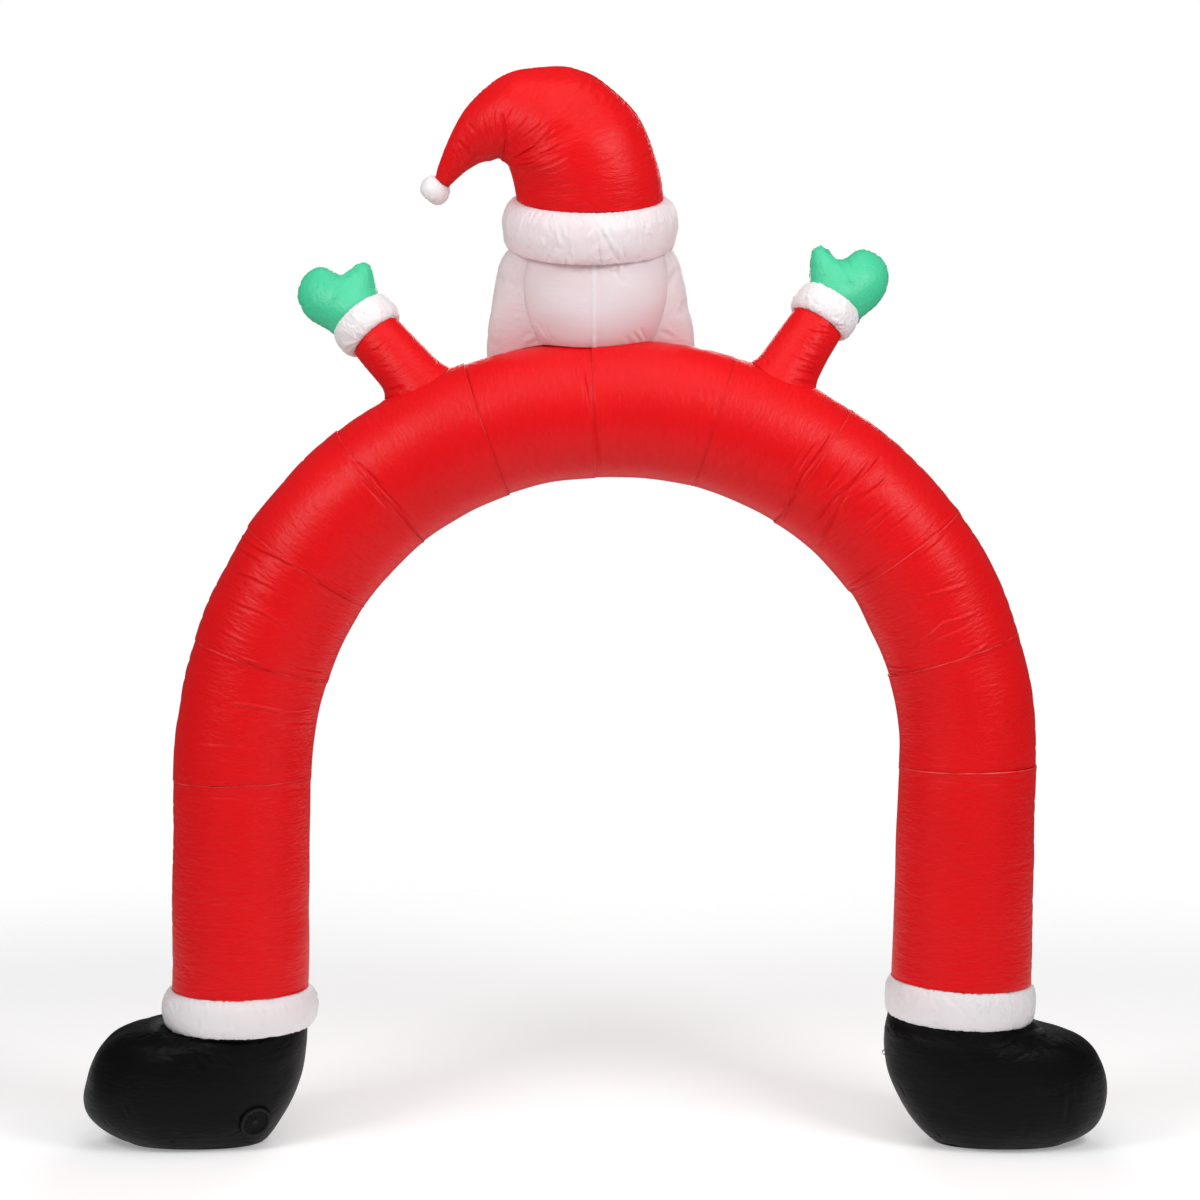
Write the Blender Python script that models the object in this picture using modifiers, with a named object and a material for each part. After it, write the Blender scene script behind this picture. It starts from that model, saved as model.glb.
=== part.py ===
"""Inflatable walk-through arch with a capped festive figure on its crown.

Everything is thin sewn cloth held up by air, so each sewn form is a filled solid with its crown and its
drawn-in seams. Metres, +Z up. The back of the figure faces -Y. The origin is on the ground, in the middle
of the object's box. Left and right are as seen from the back, so left is -X.
"""

import math
from collections import namedtuple

import bmesh
import bpy
from mathutils import Matrix, Vector

GAP = 0.0003  # between neighbouring pieces
TUCK_GAP = 0.002  # where one puffed form is tucked behind another

# ---- driving dimensions ---------------------------------------------------------------------------------

# The tube: ten gores round a half circle, from the right springing over the crown to the left one. Each row
# is a seam, with the arch's mid radius there and the tube's own radius in the gore that follows.
Seam = namedtuple("Seam", "degrees arch_radius tube_radius")
SEAMS = (
    Seam(1.0, 1.0135, 0.189),
    Seam(18.8, 1.0280, 0.190),
    Seam(36.5, 1.0385, 0.190),
    Seam(56.0, 1.0330, 0.190),
    Seam(72.8, 1.0245, 0.190),
    Seam(91.9, 1.0120, 0.190),
    Seam(109.1, 1.0135, 0.195),
    Seam(128.2, 1.0155, 0.197),
    Seam(145.5, 1.0150, 0.195),
    Seam(162.0, 1.0110, 0.192),
    Seam(181.0, 1.0170, 0.190),
)
ARCH_CENTRE = Vector((0.0294, -0.014, 1.031))
TUBE_SIDES = 26
SEAM_PINCH = 0.006  # how far the tube is drawn in at a seam

Leg = namedtuple("Leg", "side foot_x foot_z foot_radius lean_degrees ankle_x cuff_crown")
LEGS = (
    Leg("left", -0.993, 0.4285, 0.1855, 0.3, -1.0024, 0.217),
    Leg("right", 1.024, 0.4505, 0.1905, 2.3, 1.0185, 0.2105),
)
LEG_RADIUS = 0.190
BOOT_CUFF_HEIGHT = 0.104
ANKLE_RADIUS = 0.197

# Level slices of the boots, top to bottom. Heel and toe reach from the ankle's axis, the heel towards the
# middle of the arch.
BootSlice = namedtuple("BootSlice", "height heel toe half_depth")
BOOT_SLICES = {
    "left": (
        BootSlice(0.313, 0.196, 0.318, 0.184),
        BootSlice(0.300, 0.196, 0.348, 0.196),
        BootSlice(0.272, 0.195, 0.377, 0.204),
        BootSlice(0.222, 0.187, 0.404, 0.208),
        BootSlice(0.171, 0.175, 0.419, 0.207),
        BootSlice(0.127, 0.160, 0.425, 0.200),
        BootSlice(0.087, 0.140, 0.414, 0.186),
        BootSlice(0.047, 0.115, 0.377, 0.162),
        BootSlice(0.018, 0.093, 0.332, 0.134),
        BootSlice(0.000, 0.076, 0.297, 0.104),
    ),
    "right": (
        BootSlice(0.324, 0.203, 0.214, 0.196),
        BootSlice(0.308, 0.206, 0.268, 0.197),
        BootSlice(0.296, 0.207, 0.320, 0.199),
        BootSlice(0.268, 0.208, 0.366, 0.204),
        BootSlice(0.228, 0.204, 0.394, 0.208),
        BootSlice(0.190, 0.197, 0.408, 0.208),
        BootSlice(0.146, 0.182, 0.413, 0.204),
        BootSlice(0.101, 0.160, 0.405, 0.192),
        BootSlice(0.054, 0.127, 0.379, 0.168),
        BootSlice(0.020, 0.095, 0.338, 0.136),
        BootSlice(0.000, 0.070, 0.296, 0.104),
    ),
}
BOOT_SIDES = 26
BOOT_SQUARENESS = 2.2

# The blower's guard sits in the left boot, near the heel, on the back.
GUARD_RADIUS = 0.0425
GUARD_HEIGHT = 0.016
GUARD_SEAT = Vector((-0.936, ARCH_CENTRE.y - 0.126, 0.088))
GUARD_FACING = Vector((0.48, -0.82, -0.30))

TAB_SIZE = Vector((0.008, 0.012, 0.014))  # the small tab at the right boot's heel
TAB_HEIGHT = 0.244

Arm = namedtuple("Arm", "side base_x base_z wrist_x wrist_z wrist_radius")
ARMS = (
    Arm("left", -0.497, 2.115, -0.615, 2.249, 0.0770),
    Arm("right", 0.5265, 2.134, 0.625, 2.285, 0.0775),
)
ARM_BASE_RADIUS = 0.090
ARM_ROOT = 0.12  # how far the arm's cone runs into the tube before it is cut to the tube's surface
ARM_TILT = math.tan(math.radians(12.0))  # the arms lean to the front
WRIST_CUFF_HEIGHT = 0.083
WRIST_CUFF_CROWN = 0.0985
WRIST_CUFF_END = 0.085

# Mitten lobes: offsets from the wrist cuff's far end, half sizes, and the turn of each lobe from upright.
Lobe = namedtuple("Lobe", "name x z across deep along turn_degrees")
MITTENS = {
    "left": (
        Lobe("palm", -0.033, 0.033, 0.096, 0.070, 0.105, -41.0),
        Lobe("fingers", -0.096, 0.064, 0.076, 0.060, 0.080, -52.0),
        Lobe("thumb", 0.009, 0.097, 0.042, 0.042, 0.058, 16.0),
    ),
    "right": (
        Lobe("palm", 0.030, 0.034, 0.090, 0.070, 0.105, 33.0),
        Lobe("fingers", 0.084, 0.074, 0.073, 0.060, 0.080, 48.0),
        Lobe("thumb", -0.040, 0.108, 0.030, 0.034, 0.054, -12.0),
    ),
}

# The head leans back over the tube. Its frame has its origin in the hat band's lower seam plane.
HEAD_LEAN = math.radians(18.0)
HEAD_SEAT = Vector((-0.0134, ARCH_CENTRE.y + 0.020, 2.499))
# Slices of the wide side form, down from the band. Its foot closes against the front of the tube.
FormSlice = namedtuple("FormSlice", "down half_width forward half_depth")
SIDE_FORM_SLICES = (
    FormSlice(0.000, 0.224, 0.020, 0.172),
    FormSlice(0.030, 0.254, 0.022, 0.172),
    FormSlice(0.090, 0.275, 0.022, 0.168),
    FormSlice(0.165, 0.289, 0.020, 0.162),
    FormSlice(0.255, 0.295, 0.018, 0.155),
    FormSlice(0.340, 0.290, 0.018, 0.143),
    FormSlice(0.400, 0.264, 0.018, 0.118),
    FormSlice(0.436, 0.210, 0.018, 0.085),
    FormSlice(0.452, 0.130, 0.018, 0.045),
)
POUCH_SEAT = Vector((0.016, -0.034, -0.108))  # the back pouch's centre in the head's frame
POUCH_HALF = Vector((0.208, 0.190, 0.240))
BAND_HEIGHT = 0.139
BAND_LOWER = 0.2268
BAND_CROWN = 0.247
BAND_UPPER = 0.205

# Hat stations, from the band to the tip, in the hat's own plane: u to the right and v up from the middle of
# the band's upper seam. Each station runs from the inside of the hat's bend to the outside.
Station = namedtuple("Station", "inner_u inner_v outer_u outer_v")
HAT_STATIONS = (
    Station(-0.2050, 0.000, 0.2050, 0.000),
    Station(-0.215, 0.060, 0.197, 0.069),
    Station(-0.228, 0.095, 0.180, 0.127),
    Station(-0.236, 0.104, 0.160, 0.180),
    Station(-0.240, 0.107, 0.127, 0.239),
    Station(-0.243, 0.109, 0.075, 0.290),
    Station(-0.247, 0.110, 0.016, 0.334),
    Station(-0.251, 0.111, -0.052, 0.359),
    Station(-0.258, 0.111, -0.134, 0.361),
    Station(-0.270, 0.109, -0.217, 0.348),
    Station(-0.289, 0.106, -0.292, 0.305),
    Station(-0.314, 0.095, -0.345, 0.252),
    Station(-0.340, 0.079, -0.379, 0.197),
    Station(-0.365, 0.058, -0.405, 0.136),
    Station(-0.394, 0.032, -0.430, 0.062),
)
HAT_SIDES = 22
HAT_DEPTH_SHARE = 0.97  # depth of a station against its width
BOBBLE_RADIUS = 0.044
BOBBLE_HEIGHT = 0.064

RED = (0.72, 0.008, 0.012)
WHITE = (0.86, 0.80, 0.81)
GREEN = (0.06, 0.62, 0.32)
BLACK = (0.012, 0.012, 0.014)
GUARD_GREY = (0.02, 0.02, 0.02)


# ---- shared helpers -------------------------------------------------------------------------------------


def clear_scene():
    for obj in list(bpy.data.objects):
        bpy.data.objects.remove(obj, do_unlink=True)


def new_collection(name):
    collection = bpy.data.collections.new(name)
    bpy.context.scene.collection.children.link(collection)
    return collection


def material(name, colour, roughness):
    finish = bpy.data.materials.new(name)
    finish.use_nodes = True
    shader = finish.node_tree.nodes["Principled BSDF"]
    shader.inputs["Base Color"].default_value = (*colour, 1.0)
    shader.inputs["Roughness"].default_value = roughness
    shader.inputs["Metallic"].default_value = 0.0
    return finish


def add_mesh(name, bm, collection, finish=None):
    """An object from a bmesh, its faces pointing out. One with no finish is a cutter."""
    bmesh.ops.recalc_face_normals(bm, faces=bm.faces)
    mesh = bpy.data.meshes.new(name)
    bm.to_mesh(mesh)
    bm.free()
    mesh.shade_smooth()
    mesh.set_sharp_from_angle(angle=math.radians(50.0))
    obj = bpy.data.objects.new(name, mesh)
    collection.objects.link(obj)
    if finish:
        mesh.materials.append(finish)
    else:
        obj.hide_render = True
        obj.display_type = "WIRE"
    return obj


def loft(name, rings, collection, finish=None):
    """A closed solid through rings of equally many points, with flat ends."""
    bm = bmesh.new()
    rows = [[bm.verts.new(point) for point in points] for points in rings]
    count = len(rows[0])
    for low, high in zip(rows, rows[1:]):
        for i in range(count):
            j = (i + 1) % count
            bm.faces.new((low[i], low[j], high[j]))
            bm.faces.new((low[i], high[j], high[i]))
    bm.faces.new(rows[0])
    bm.faces.new(rows[-1])
    return add_mesh(name, bm, collection, finish)


def turned(name, profile, sides, frame, collection, finish):
    """A solid turned round the frame's Z axis from (radius, height) points, top to bottom."""
    mesh = bpy.data.meshes.new(name)
    points = [(radius, 0.0, height) for radius, height in profile]
    mesh.from_pydata(points, [(i, i + 1) for i in range(len(points) - 1)], [])
    mesh.materials.append(finish)
    obj = bpy.data.objects.new(name, mesh)
    obj.matrix_world = frame
    collection.objects.link(obj)
    screw = obj.modifiers.new("Turn", "SCREW")
    screw.steps = screw.render_steps = sides
    screw.use_merge_vertices = True
    screw.merge_threshold = 0.0001
    screw.use_smooth_shade = True


def drum(name, sides, radius, depth, frame, collection):
    """A plain round cutter, centred on the frame."""
    bm = bmesh.new()
    bmesh.ops.create_cone(bm, cap_ends=True, segments=sides, radius1=radius, radius2=radius, depth=depth)
    bm.transform(frame)
    return add_mesh(name, bm, collection)


def ellipsoid(name, half, frame, sides, collection, finish=None):
    bm = bmesh.new()
    bmesh.ops.create_uvsphere(bm, u_segments=sides, v_segments=sides * 3 // 5, radius=1.0)
    bm.transform(frame @ Matrix.Diagonal((*half, 1.0)))
    return add_mesh(name, bm, collection, finish)


def boolean(obj, operation, others):
    for other in others:
        modifier = obj.modifiers.new(other.name, "BOOLEAN")
        modifier.operation = operation
        modifier.solver = "EXACT"
        modifier.object = other


def ring(centre, across, deep, count):
    """Points round an ellipse spanned by two half-axis vectors."""
    angles = [2.0 * math.pi * i / count for i in range(count)]
    return [centre + across * math.cos(a) + deep * math.sin(a) for a in angles]


def frame_along(origin, direction):
    """A frame at the origin whose Z axis runs along the direction."""
    return Matrix.Translation(origin) @ direction.to_track_quat("Z", "Y").to_matrix().to_4x4()


def lift(height):
    return Matrix.Translation((0.0, 0.0, height))


def puff_profile(top_radius, crown, low_radius, height, steps):
    """A puffed drum's outline, top to bottom: the seams drawn in, the middle swelling to the crown."""
    points = [(0.0, height)]
    for i in range(steps + 1):
        share = i / steps
        seam = top_radius + (low_radius - top_radius) * share
        swell = math.sqrt(max(0.0, 1.0 - (2.0 * share - 1.0) ** 2))
        points.append((seam + (crown - seam) * swell, height * (1.0 - share)))
    points.append((0.0, 0.0))
    return points


# ---- the tube -------------------------------------------------------------------------------------------


def tube_ring(degrees, arch_radius, radius, push=0.0):
    """A ring of the tube in the mitre plane at an angle, moved along the tube by push."""
    angle = math.radians(degrees)
    outward = Vector((math.cos(angle), 0.0, math.sin(angle)))
    onward = Vector((-math.sin(angle), 0.0, math.cos(angle)))
    centre = ARCH_CENTRE + outward * arch_radius + onward * push
    return ring(centre, outward * radius, Vector((0.0, radius, 0.0)), TUBE_SIDES)


def gore_rings(start, end, extra=0.0, gap=0.0):
    """Rings of one gore: drawn in at both seams, full in between."""
    rings = []
    for share, pinch in ((0.0, 1.0), (0.09, 0.25), (0.5, 0.0), (0.91, 0.25), (1.0, 1.0)):
        push = gap if share == 0.0 else -gap if share == 1.0 else 0.0
        degrees = start.degrees + (end.degrees - start.degrees) * share
        arch_radius = start.arch_radius + (end.arch_radius - start.arch_radius) * share
        radius = start.tube_radius - SEAM_PINCH * pinch + extra
        rings.append(tube_ring(degrees, arch_radius, radius, push))
    return rings


def make_gores(parts, finish):
    spans = list(zip(SEAMS, SEAMS[1:]))
    for number, (start, end) in enumerate(reversed(spans), 1):
        loft(f"gore_{number:02d}", gore_rings(start, end, gap=GAP / 2.0), parts, finish)


def make_tube_space(cutters):
    """The whole curved tube, larger by the gap, for what is sewn onto it."""
    rings = []
    for start, end in zip(SEAMS, SEAMS[1:]):
        rings += gore_rings(start, end, extra=GAP)[:-1]
    last = SEAMS[-1]
    rings.append(tube_ring(last.degrees, last.arch_radius, last.tube_radius))
    return loft("tube_space", rings, cutters)


def leg_frame(leg, up=0.0):
    """A leg's frame at its foot, or that far up from it: Z runs up the leg."""
    turn = Matrix.Rotation(math.radians(leg.lean_degrees), 4, "Y")
    return Matrix.Translation((leg.foot_x, ARCH_CENTRE.y, leg.foot_z)) @ turn @ lift(up)


def make_leg(leg, parts, finish):
    """A straight tube from the springing seam to the boot cuff."""
    outward = 1.0 if leg.side == "right" else -1.0
    spring = SEAMS[0] if leg.side == "right" else SEAMS[-1]
    radius = spring.tube_radius - SEAM_PINCH
    top = tube_ring(spring.degrees, spring.arch_radius, radius, push=-outward * GAP / 2.0)
    top_centre = sum(top, Vector()) / TUBE_SIDES
    foot = leg_frame(leg, GAP / 2.0)
    side = foot.to_3x3() @ Vector((outward, 0.0, 0.0))
    rings = [top]
    for share, radius in ((0.05, LEG_RADIUS), (0.5, LEG_RADIUS), (0.95, leg.foot_radius + 0.003)):
        centre = top_centre.lerp(foot.translation, share)
        rings.append(ring(centre, side * radius, Vector((0.0, radius, 0.0)), TUBE_SIDES))
    deep = Vector((0.0, leg.foot_radius, 0.0))
    rings.append(ring(foot.translation, side * leg.foot_radius, deep, TUBE_SIDES))
    loft(f"leg_{leg.side}", rings, parts, finish)


# ---- feet -----------------------------------------------------------------------------------------------


def make_boot_cuff(leg, parts, finish):
    height = BOOT_CUFF_HEIGHT - GAP
    profile = puff_profile(leg.foot_radius, leg.cuff_crown, ANKLE_RADIUS, height, steps=6)
    turned(f"boot_cuff_{leg.side}", profile, 28, leg_frame(leg, -height - GAP / 2.0), parts, finish)


def boot_outline(row, ankle_x, outward):
    """One level slice of a boot: rounded ends, slightly square sides."""
    points = []
    middle, half = (row.toe - row.heel) / 2.0, (row.toe + row.heel) / 2.0
    power = 2.0 / BOOT_SQUARENESS
    for i in range(BOOT_SIDES):
        angle = 2.0 * math.pi * i / BOOT_SIDES
        along = math.copysign(abs(math.cos(angle)) ** power, math.cos(angle))
        across = math.copysign(abs(math.sin(angle)) ** power, math.sin(angle))
        x = ankle_x + outward * (middle + half * along)
        points.append(Vector((x, ARCH_CENTRE.y + row.half_depth * across, row.height)))
    return points


def make_boot(leg, parts, finish):
    """A filled boot: a round ankle over level slices, flat where it stands."""
    outward = 1.0 if leg.side == "right" else -1.0
    ankle = leg_frame(leg, -BOOT_CUFF_HEIGHT - GAP)
    centre = Vector((leg.ankle_x, ARCH_CENTRE.y, ankle.translation.z))
    side = ankle.to_3x3() @ Vector((outward * ANKLE_RADIUS, 0.0, 0.0))
    rings = [ring(centre, side, Vector((0.0, ANKLE_RADIUS, 0.0)), BOOT_SIDES)]
    rings += [boot_outline(row, leg.ankle_x, outward) for row in BOOT_SLICES[leg.side]]
    return loft(f"boot_{leg.side}", rings, parts, finish)


def make_guard(boot, parts, cutters, finish):
    """A round grille plate, let into the boot's cloth."""
    rim, face = GUARD_RADIUS, GUARD_HEIGHT
    seat = frame_along(GUARD_SEAT, GUARD_FACING)
    profile = (
        (0.0, face - 0.002),
        (rim * 0.30, face - 0.002),
        (rim * 0.36, face - 0.005),
        (rim * 0.78, face - 0.005),
        (rim * 0.84, face),
        (rim * 0.95, face),
        (rim, face - 0.003),
        (rim, 0.0),
        (0.0, 0.0),
    )
    turned("blower_guard", profile, 28, seat, parts, finish)
    depth = 0.08
    hole = drum("guard_space", 28, rim + 2.0 * GAP, depth, seat @ lift(depth / 2.0 - GAP), cutters)
    boolean(boot, "DIFFERENCE", [hole])


def heel_at(side, height):
    """A boot's heel reach at a height between two of its slices."""
    for above, below in zip(BOOT_SLICES[side], BOOT_SLICES[side][1:]):
        if above.height >= height >= below.height:
            share = (above.height - height) / (above.height - below.height)
            return above.heel + (below.heel - above.heel) * share
    raise ValueError("the height is outside the boot's slices")


def make_heel_tab(parts, finish):
    leg = LEGS[1]
    reach = heel_at(leg.side, TAB_HEIGHT + TAB_SIZE.z / 2.0)
    x = leg.ankle_x - reach - GAP - TAB_SIZE.x / 2.0
    bm = bmesh.new()
    bmesh.ops.create_cube(bm, size=1.0)
    bm.transform(Matrix.Translation((x, ARCH_CENTRE.y, TAB_HEIGHT)) @ Matrix.Diagonal((*TAB_SIZE, 1.0)))
    add_mesh("heel_tab_right", bm, parts, finish)


# ---- arms -----------------------------------------------------------------------------------------------


def arm_line(arm):
    """Where the arm's axis meets the tube, where its wrist is, and the direction out along it."""
    flat = Vector((arm.wrist_x - arm.base_x, 0.0, arm.wrist_z - arm.base_z))
    base = Vector((arm.base_x, ARCH_CENTRE.y, arm.base_z))
    wrist = base + flat + Vector((0.0, flat.length * ARM_TILT, 0.0))
    return base, wrist, (wrist - base).normalized()


def make_arm(arm, tube_space, parts, finish):
    base, wrist, along = arm_line(arm)
    root = base - along * ARM_ROOT
    bm = bmesh.new()
    bmesh.ops.create_cone(
        bm,
        cap_ends=True,
        segments=22,
        radius1=ARM_BASE_RADIUS,
        radius2=arm.wrist_radius,
        depth=(wrist - root).length,
    )
    bm.transform(frame_along(root.lerp(wrist, 0.5) - along * GAP, along))
    boolean(add_mesh(f"arm_{arm.side}", bm, parts, finish), "DIFFERENCE", [tube_space])


def make_wrist_cuff(arm, parts, finish):
    _, wrist, along = arm_line(arm)
    profile = puff_profile(WRIST_CUFF_END, WRIST_CUFF_CROWN, arm.wrist_radius, WRIST_CUFF_HEIGHT, steps=5)
    turned(f"wrist_cuff_{arm.side}", profile, 22, frame_along(wrist, along), parts, finish)


def make_mitten(arm, parts, cutters, finish):
    """Palm, fingers and thumb joined into one filled form, flat where it meets the cuff."""
    _, wrist, along = arm_line(arm)
    end = wrist + along * WRIST_CUFF_HEIGHT
    lobes = []
    for lobe in MITTENS[arm.side]:
        lean = math.hypot(lobe.x, lobe.z) * ARM_TILT
        frame = Matrix.Translation(end + Vector((lobe.x, lean, lobe.z)))
        frame = frame @ Matrix.Rotation(math.radians(lobe.turn_degrees), 4, "Y")
        half = (lobe.across, lobe.deep, lobe.along)
        if lobe.name == "palm":
            lobes.append(ellipsoid(f"mitten_{arm.side}", half, frame, 16, parts, finish))
        else:
            lobes.append(ellipsoid(f"{lobe.name}_{arm.side}", half, frame, 15, cutters))
    palm = lobes[0]
    boolean(palm, "UNION", lobes[1:])
    depth = 0.2
    seat = frame_along(end, along) @ lift(GAP - depth / 2.0)
    boolean(palm, "DIFFERENCE", [drum(f"wrist_space_{arm.side}", 24, 0.14, depth, seat, cutters)])


# ---- head and hat ---------------------------------------------------------------------------------------


def head_frame(up=0.0):
    """The head's frame: Z up its leaning axis, X to the right, at a height above the band's lower seam."""
    return Matrix.Translation(HEAD_SEAT) @ Matrix.Rotation(HEAD_LEAN, 4, "X") @ lift(up)


def side_form_rings(extra=0.0, rise=-GAP):
    """Rings of the wide form in front of the back pouch, from the band down into the tube."""
    rings = []
    for row in SIDE_FORM_SLICES:
        seat = head_frame(rise - row.down)
        across = seat.to_3x3() @ Vector((row.half_width + extra, 0.0, 0.0))
        deep = seat.to_3x3() @ Vector((0.0, row.half_depth + extra, 0.0))
        rings.append(ring(seat @ Vector((0.0, row.forward, 0.0)), across, deep, 26))
    return rings


def make_head(tube_space, parts, cutters, finish):
    """The wide form and the round pouch at its back, both seated on the tube and under the band."""
    form = loft("side_form", side_form_rings(), parts, finish)
    boolean(form, "DIFFERENCE", [tube_space])

    frame = head_frame() @ Matrix.Translation(POUCH_SEAT)
    pouch = ellipsoid("head_pouch", POUCH_HALF, frame, 24, parts, finish)
    depth = 0.4
    band_space = drum("band_space", 24, 0.4, depth, head_frame(depth / 2.0 - GAP), cutters)
    form_space = loft("form_space", side_form_rings(extra=TUCK_GAP, rise=TUCK_GAP), cutters)
    boolean(pouch, "DIFFERENCE", [tube_space, form_space, band_space])


def make_band(parts, finish):
    profile = puff_profile(BAND_UPPER, BAND_CROWN, BAND_LOWER, BAND_HEIGHT, steps=7)
    turned("hat_band", profile, 30, head_frame(), parts, finish)


def make_hat(parts, finish):
    """A filled cone that bends over to the left, through its stations."""
    seat = head_frame(BAND_HEIGHT + GAP)
    deep = seat.to_3x3() @ Vector((0.0, HAT_DEPTH_SHARE, 0.0))
    rings = []
    for station in HAT_STATIONS:
        inner = seat @ Vector((station.inner_u, 0.0, station.inner_v))
        outer = seat @ Vector((station.outer_u, 0.0, station.outer_v))
        half = (outer - inner) / 2.0
        rings.append(ring((inner + outer) / 2.0, half, deep * half.length, HAT_SIDES))
    loft("hat", rings, parts, finish)


def make_bobble(parts, finish):
    """A gathered ball on the hat's tip."""
    seat = head_frame(BAND_HEIGHT + GAP)
    station = HAT_STATIONS[-1]
    inner = Vector((station.inner_u, 0.0, station.inner_v))
    outer = Vector((station.outer_u, 0.0, station.outer_v))
    chord = (outer - inner).normalized()
    away = seat.to_3x3() @ Vector((-chord.z, 0.0, chord.x))
    tip = seat @ ((inner + outer) / 2.0)
    profile = puff_profile(0.012, BOBBLE_RADIUS, (outer - inner).length / 2.0, BOBBLE_HEIGHT, steps=6)
    turned("hat_bobble", profile, 18, frame_along(tip + away * GAP, away), parts, finish)


def main():
    clear_scene()
    parts = new_collection("inflatable_arch")
    cutters = new_collection("cutters")
    red = material("red_cloth", RED, 0.45)
    white = material("white_cloth", WHITE, 0.50)
    green = material("green_cloth", GREEN, 0.45)
    black = material("black_cloth", BLACK, 0.50)
    guard = material("guard_plastic", GUARD_GREY, 0.40)

    tube_space = make_tube_space(cutters)
    make_gores(parts, red)
    for leg in LEGS:
        make_leg(leg, parts, red)
        make_boot_cuff(leg, parts, white)
        boot = make_boot(leg, parts, black)
        if leg.side == "left":
            make_guard(boot, parts, cutters, guard)
    make_heel_tab(parts, black)
    for arm in ARMS:
        make_arm(arm, tube_space, parts, red)
        make_wrist_cuff(arm, parts, white)
        make_mitten(arm, parts, cutters, green)
    make_head(tube_space, parts, cutters, white)
    make_band(parts, white)
    make_hat(parts, red)
    make_bobble(parts, white)


main()
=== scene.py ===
"""Looks of an inflatable walk-through arch of thin sewn cloth, seen from behind.

Metres, +Z up. The back of the arch faces -Y. Left and right are as seen from the back, so left is -X.
Every cloth form is a Shell: a grid of points whose rows run along the form and whose columns run round it.
"""

import logging
import math
from dataclasses import dataclass, field
from enum import Enum
from typing import Iterable, NamedTuple, Optional, Sequence

import bpy
import numpy as np
from mathutils import Matrix, Vector


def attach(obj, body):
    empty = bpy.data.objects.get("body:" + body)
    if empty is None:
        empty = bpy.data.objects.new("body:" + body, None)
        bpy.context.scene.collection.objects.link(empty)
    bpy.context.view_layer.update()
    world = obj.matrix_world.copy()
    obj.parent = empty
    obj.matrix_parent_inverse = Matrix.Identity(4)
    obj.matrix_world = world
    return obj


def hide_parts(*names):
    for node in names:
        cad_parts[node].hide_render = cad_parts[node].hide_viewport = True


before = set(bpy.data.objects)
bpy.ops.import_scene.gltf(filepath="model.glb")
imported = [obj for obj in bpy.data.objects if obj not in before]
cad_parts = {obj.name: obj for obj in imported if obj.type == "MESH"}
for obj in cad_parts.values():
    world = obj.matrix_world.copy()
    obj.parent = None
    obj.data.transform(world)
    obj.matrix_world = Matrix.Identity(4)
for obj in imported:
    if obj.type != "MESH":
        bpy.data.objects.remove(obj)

Array = np.ndarray
Colour = tuple[float, float, float]
Point = tuple[float, float, float]
Node, Socket, Tree, Piece = bpy.types.Node, bpy.types.NodeSocket, bpy.types.NodeTree, bpy.types.Object
Inputs = dict[int | str, object]

BODY = "root"
ARCH_Y = -0.014  # the middle of the tube, front to back
GAP = 0.0002  # between two pieces that are sewn together
TUCK_GAP = 0.002  # between a hidden side and what it is laid on
HEM = 0.0005  # the width of the edge where a form's cloth turns in
THREAD_LIFT = 0.0003  # a thread's middle above its cloth
VALLEY = 0.45  # how wide a gather's valley is, where the heights spread by one
WHITE = (1.0, 1.0, 1.0, 1.0)
TAU = 2.0 * math.pi
BACKWARD = np.array((0.0, -1.0, 0.0))
log = logging.getLogger("arch")


class Slot(Enum):
    """The record's material slots."""

    RED = "red_cloth"
    WHITE = "white_cloth"
    GREEN = "green_cloth"
    BLACK = "black_cloth"
    PLASTIC = "guard_plastic"


class Side(Enum):
    """A side of the arch, as seen from its back. The value is the sign of its X."""

    LEFT = -1.0
    RIGHT = 1.0

    @property
    def word(self) -> str:
        """The side's name as the nodes spell it."""
        return self.name.lower()


class Crease(NamedTuple):
    """A pressed-in line on a shell, from start to end.

    The places are (share of the shell's length, degrees round it). Width, depth and bow are in millimetres.
    """

    along_start: float
    round_start: float
    along_end: float
    round_end: float
    width: float
    depth: float
    bow: float = 0.0


class Zone(NamedTuple):
    """A patch of fine folds on a shell: its middle and its reach, as a share of the length and degrees round it.

    Fold is from one fold to the next and length how long each is, in millimetres, with the height in
    millimetres: below nought it makes ridges. Folds run round the shell, or along it where lengthways is set.
    Line is how wide each one is, as a share of the fold.
    """

    along: float
    round: float
    along_reach: float
    round_reach: float
    fold: float
    length: float
    height: float
    lengthways: bool = False
    line: float = 0.40


def table(kind: type[NamedTuple], *rows: Sequence[float]) -> tuple:
    """Rows of numbers, each made into that kind of entry."""
    return tuple(kind(*row) for row in rows)


# ---- numbers ----


def random_heights(
    shape: tuple[int, int], size: tuple[float, float], waves: tuple[float, float], seed: int, low_cut: float = 0.5
) -> Array:
    """Smooth random heights over a grid, with a spread of one.

    Args:
        shape: rows and columns of the grid.
        size: the grid's length along its rows' axis and its girth, in metres.
        waves: the shortest waves kept, along and around, in metres.
        seed: the draw's fixed seed.
        low_cut: share of the kept band under which long waves are dropped.

    Returns:
        The heights, one for each point of the grid.
    """
    draw = np.random.default_rng(seed).normal(size=shape)
    along = np.abs(np.fft.fftfreq(shape[0], size[0] / shape[0]))[:, None] * waves[0]
    across = np.fft.rfftfreq(shape[1], size[1] / shape[1])[None] * waves[1]
    reach = np.hypot(along, across)
    keep = np.exp(-(reach**2)) * (1.0 - fading(reach, low_cut))
    heights = np.fft.irfft2(np.fft.rfft2(draw) * keep, s=shape)
    return heights / heights.std()


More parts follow.
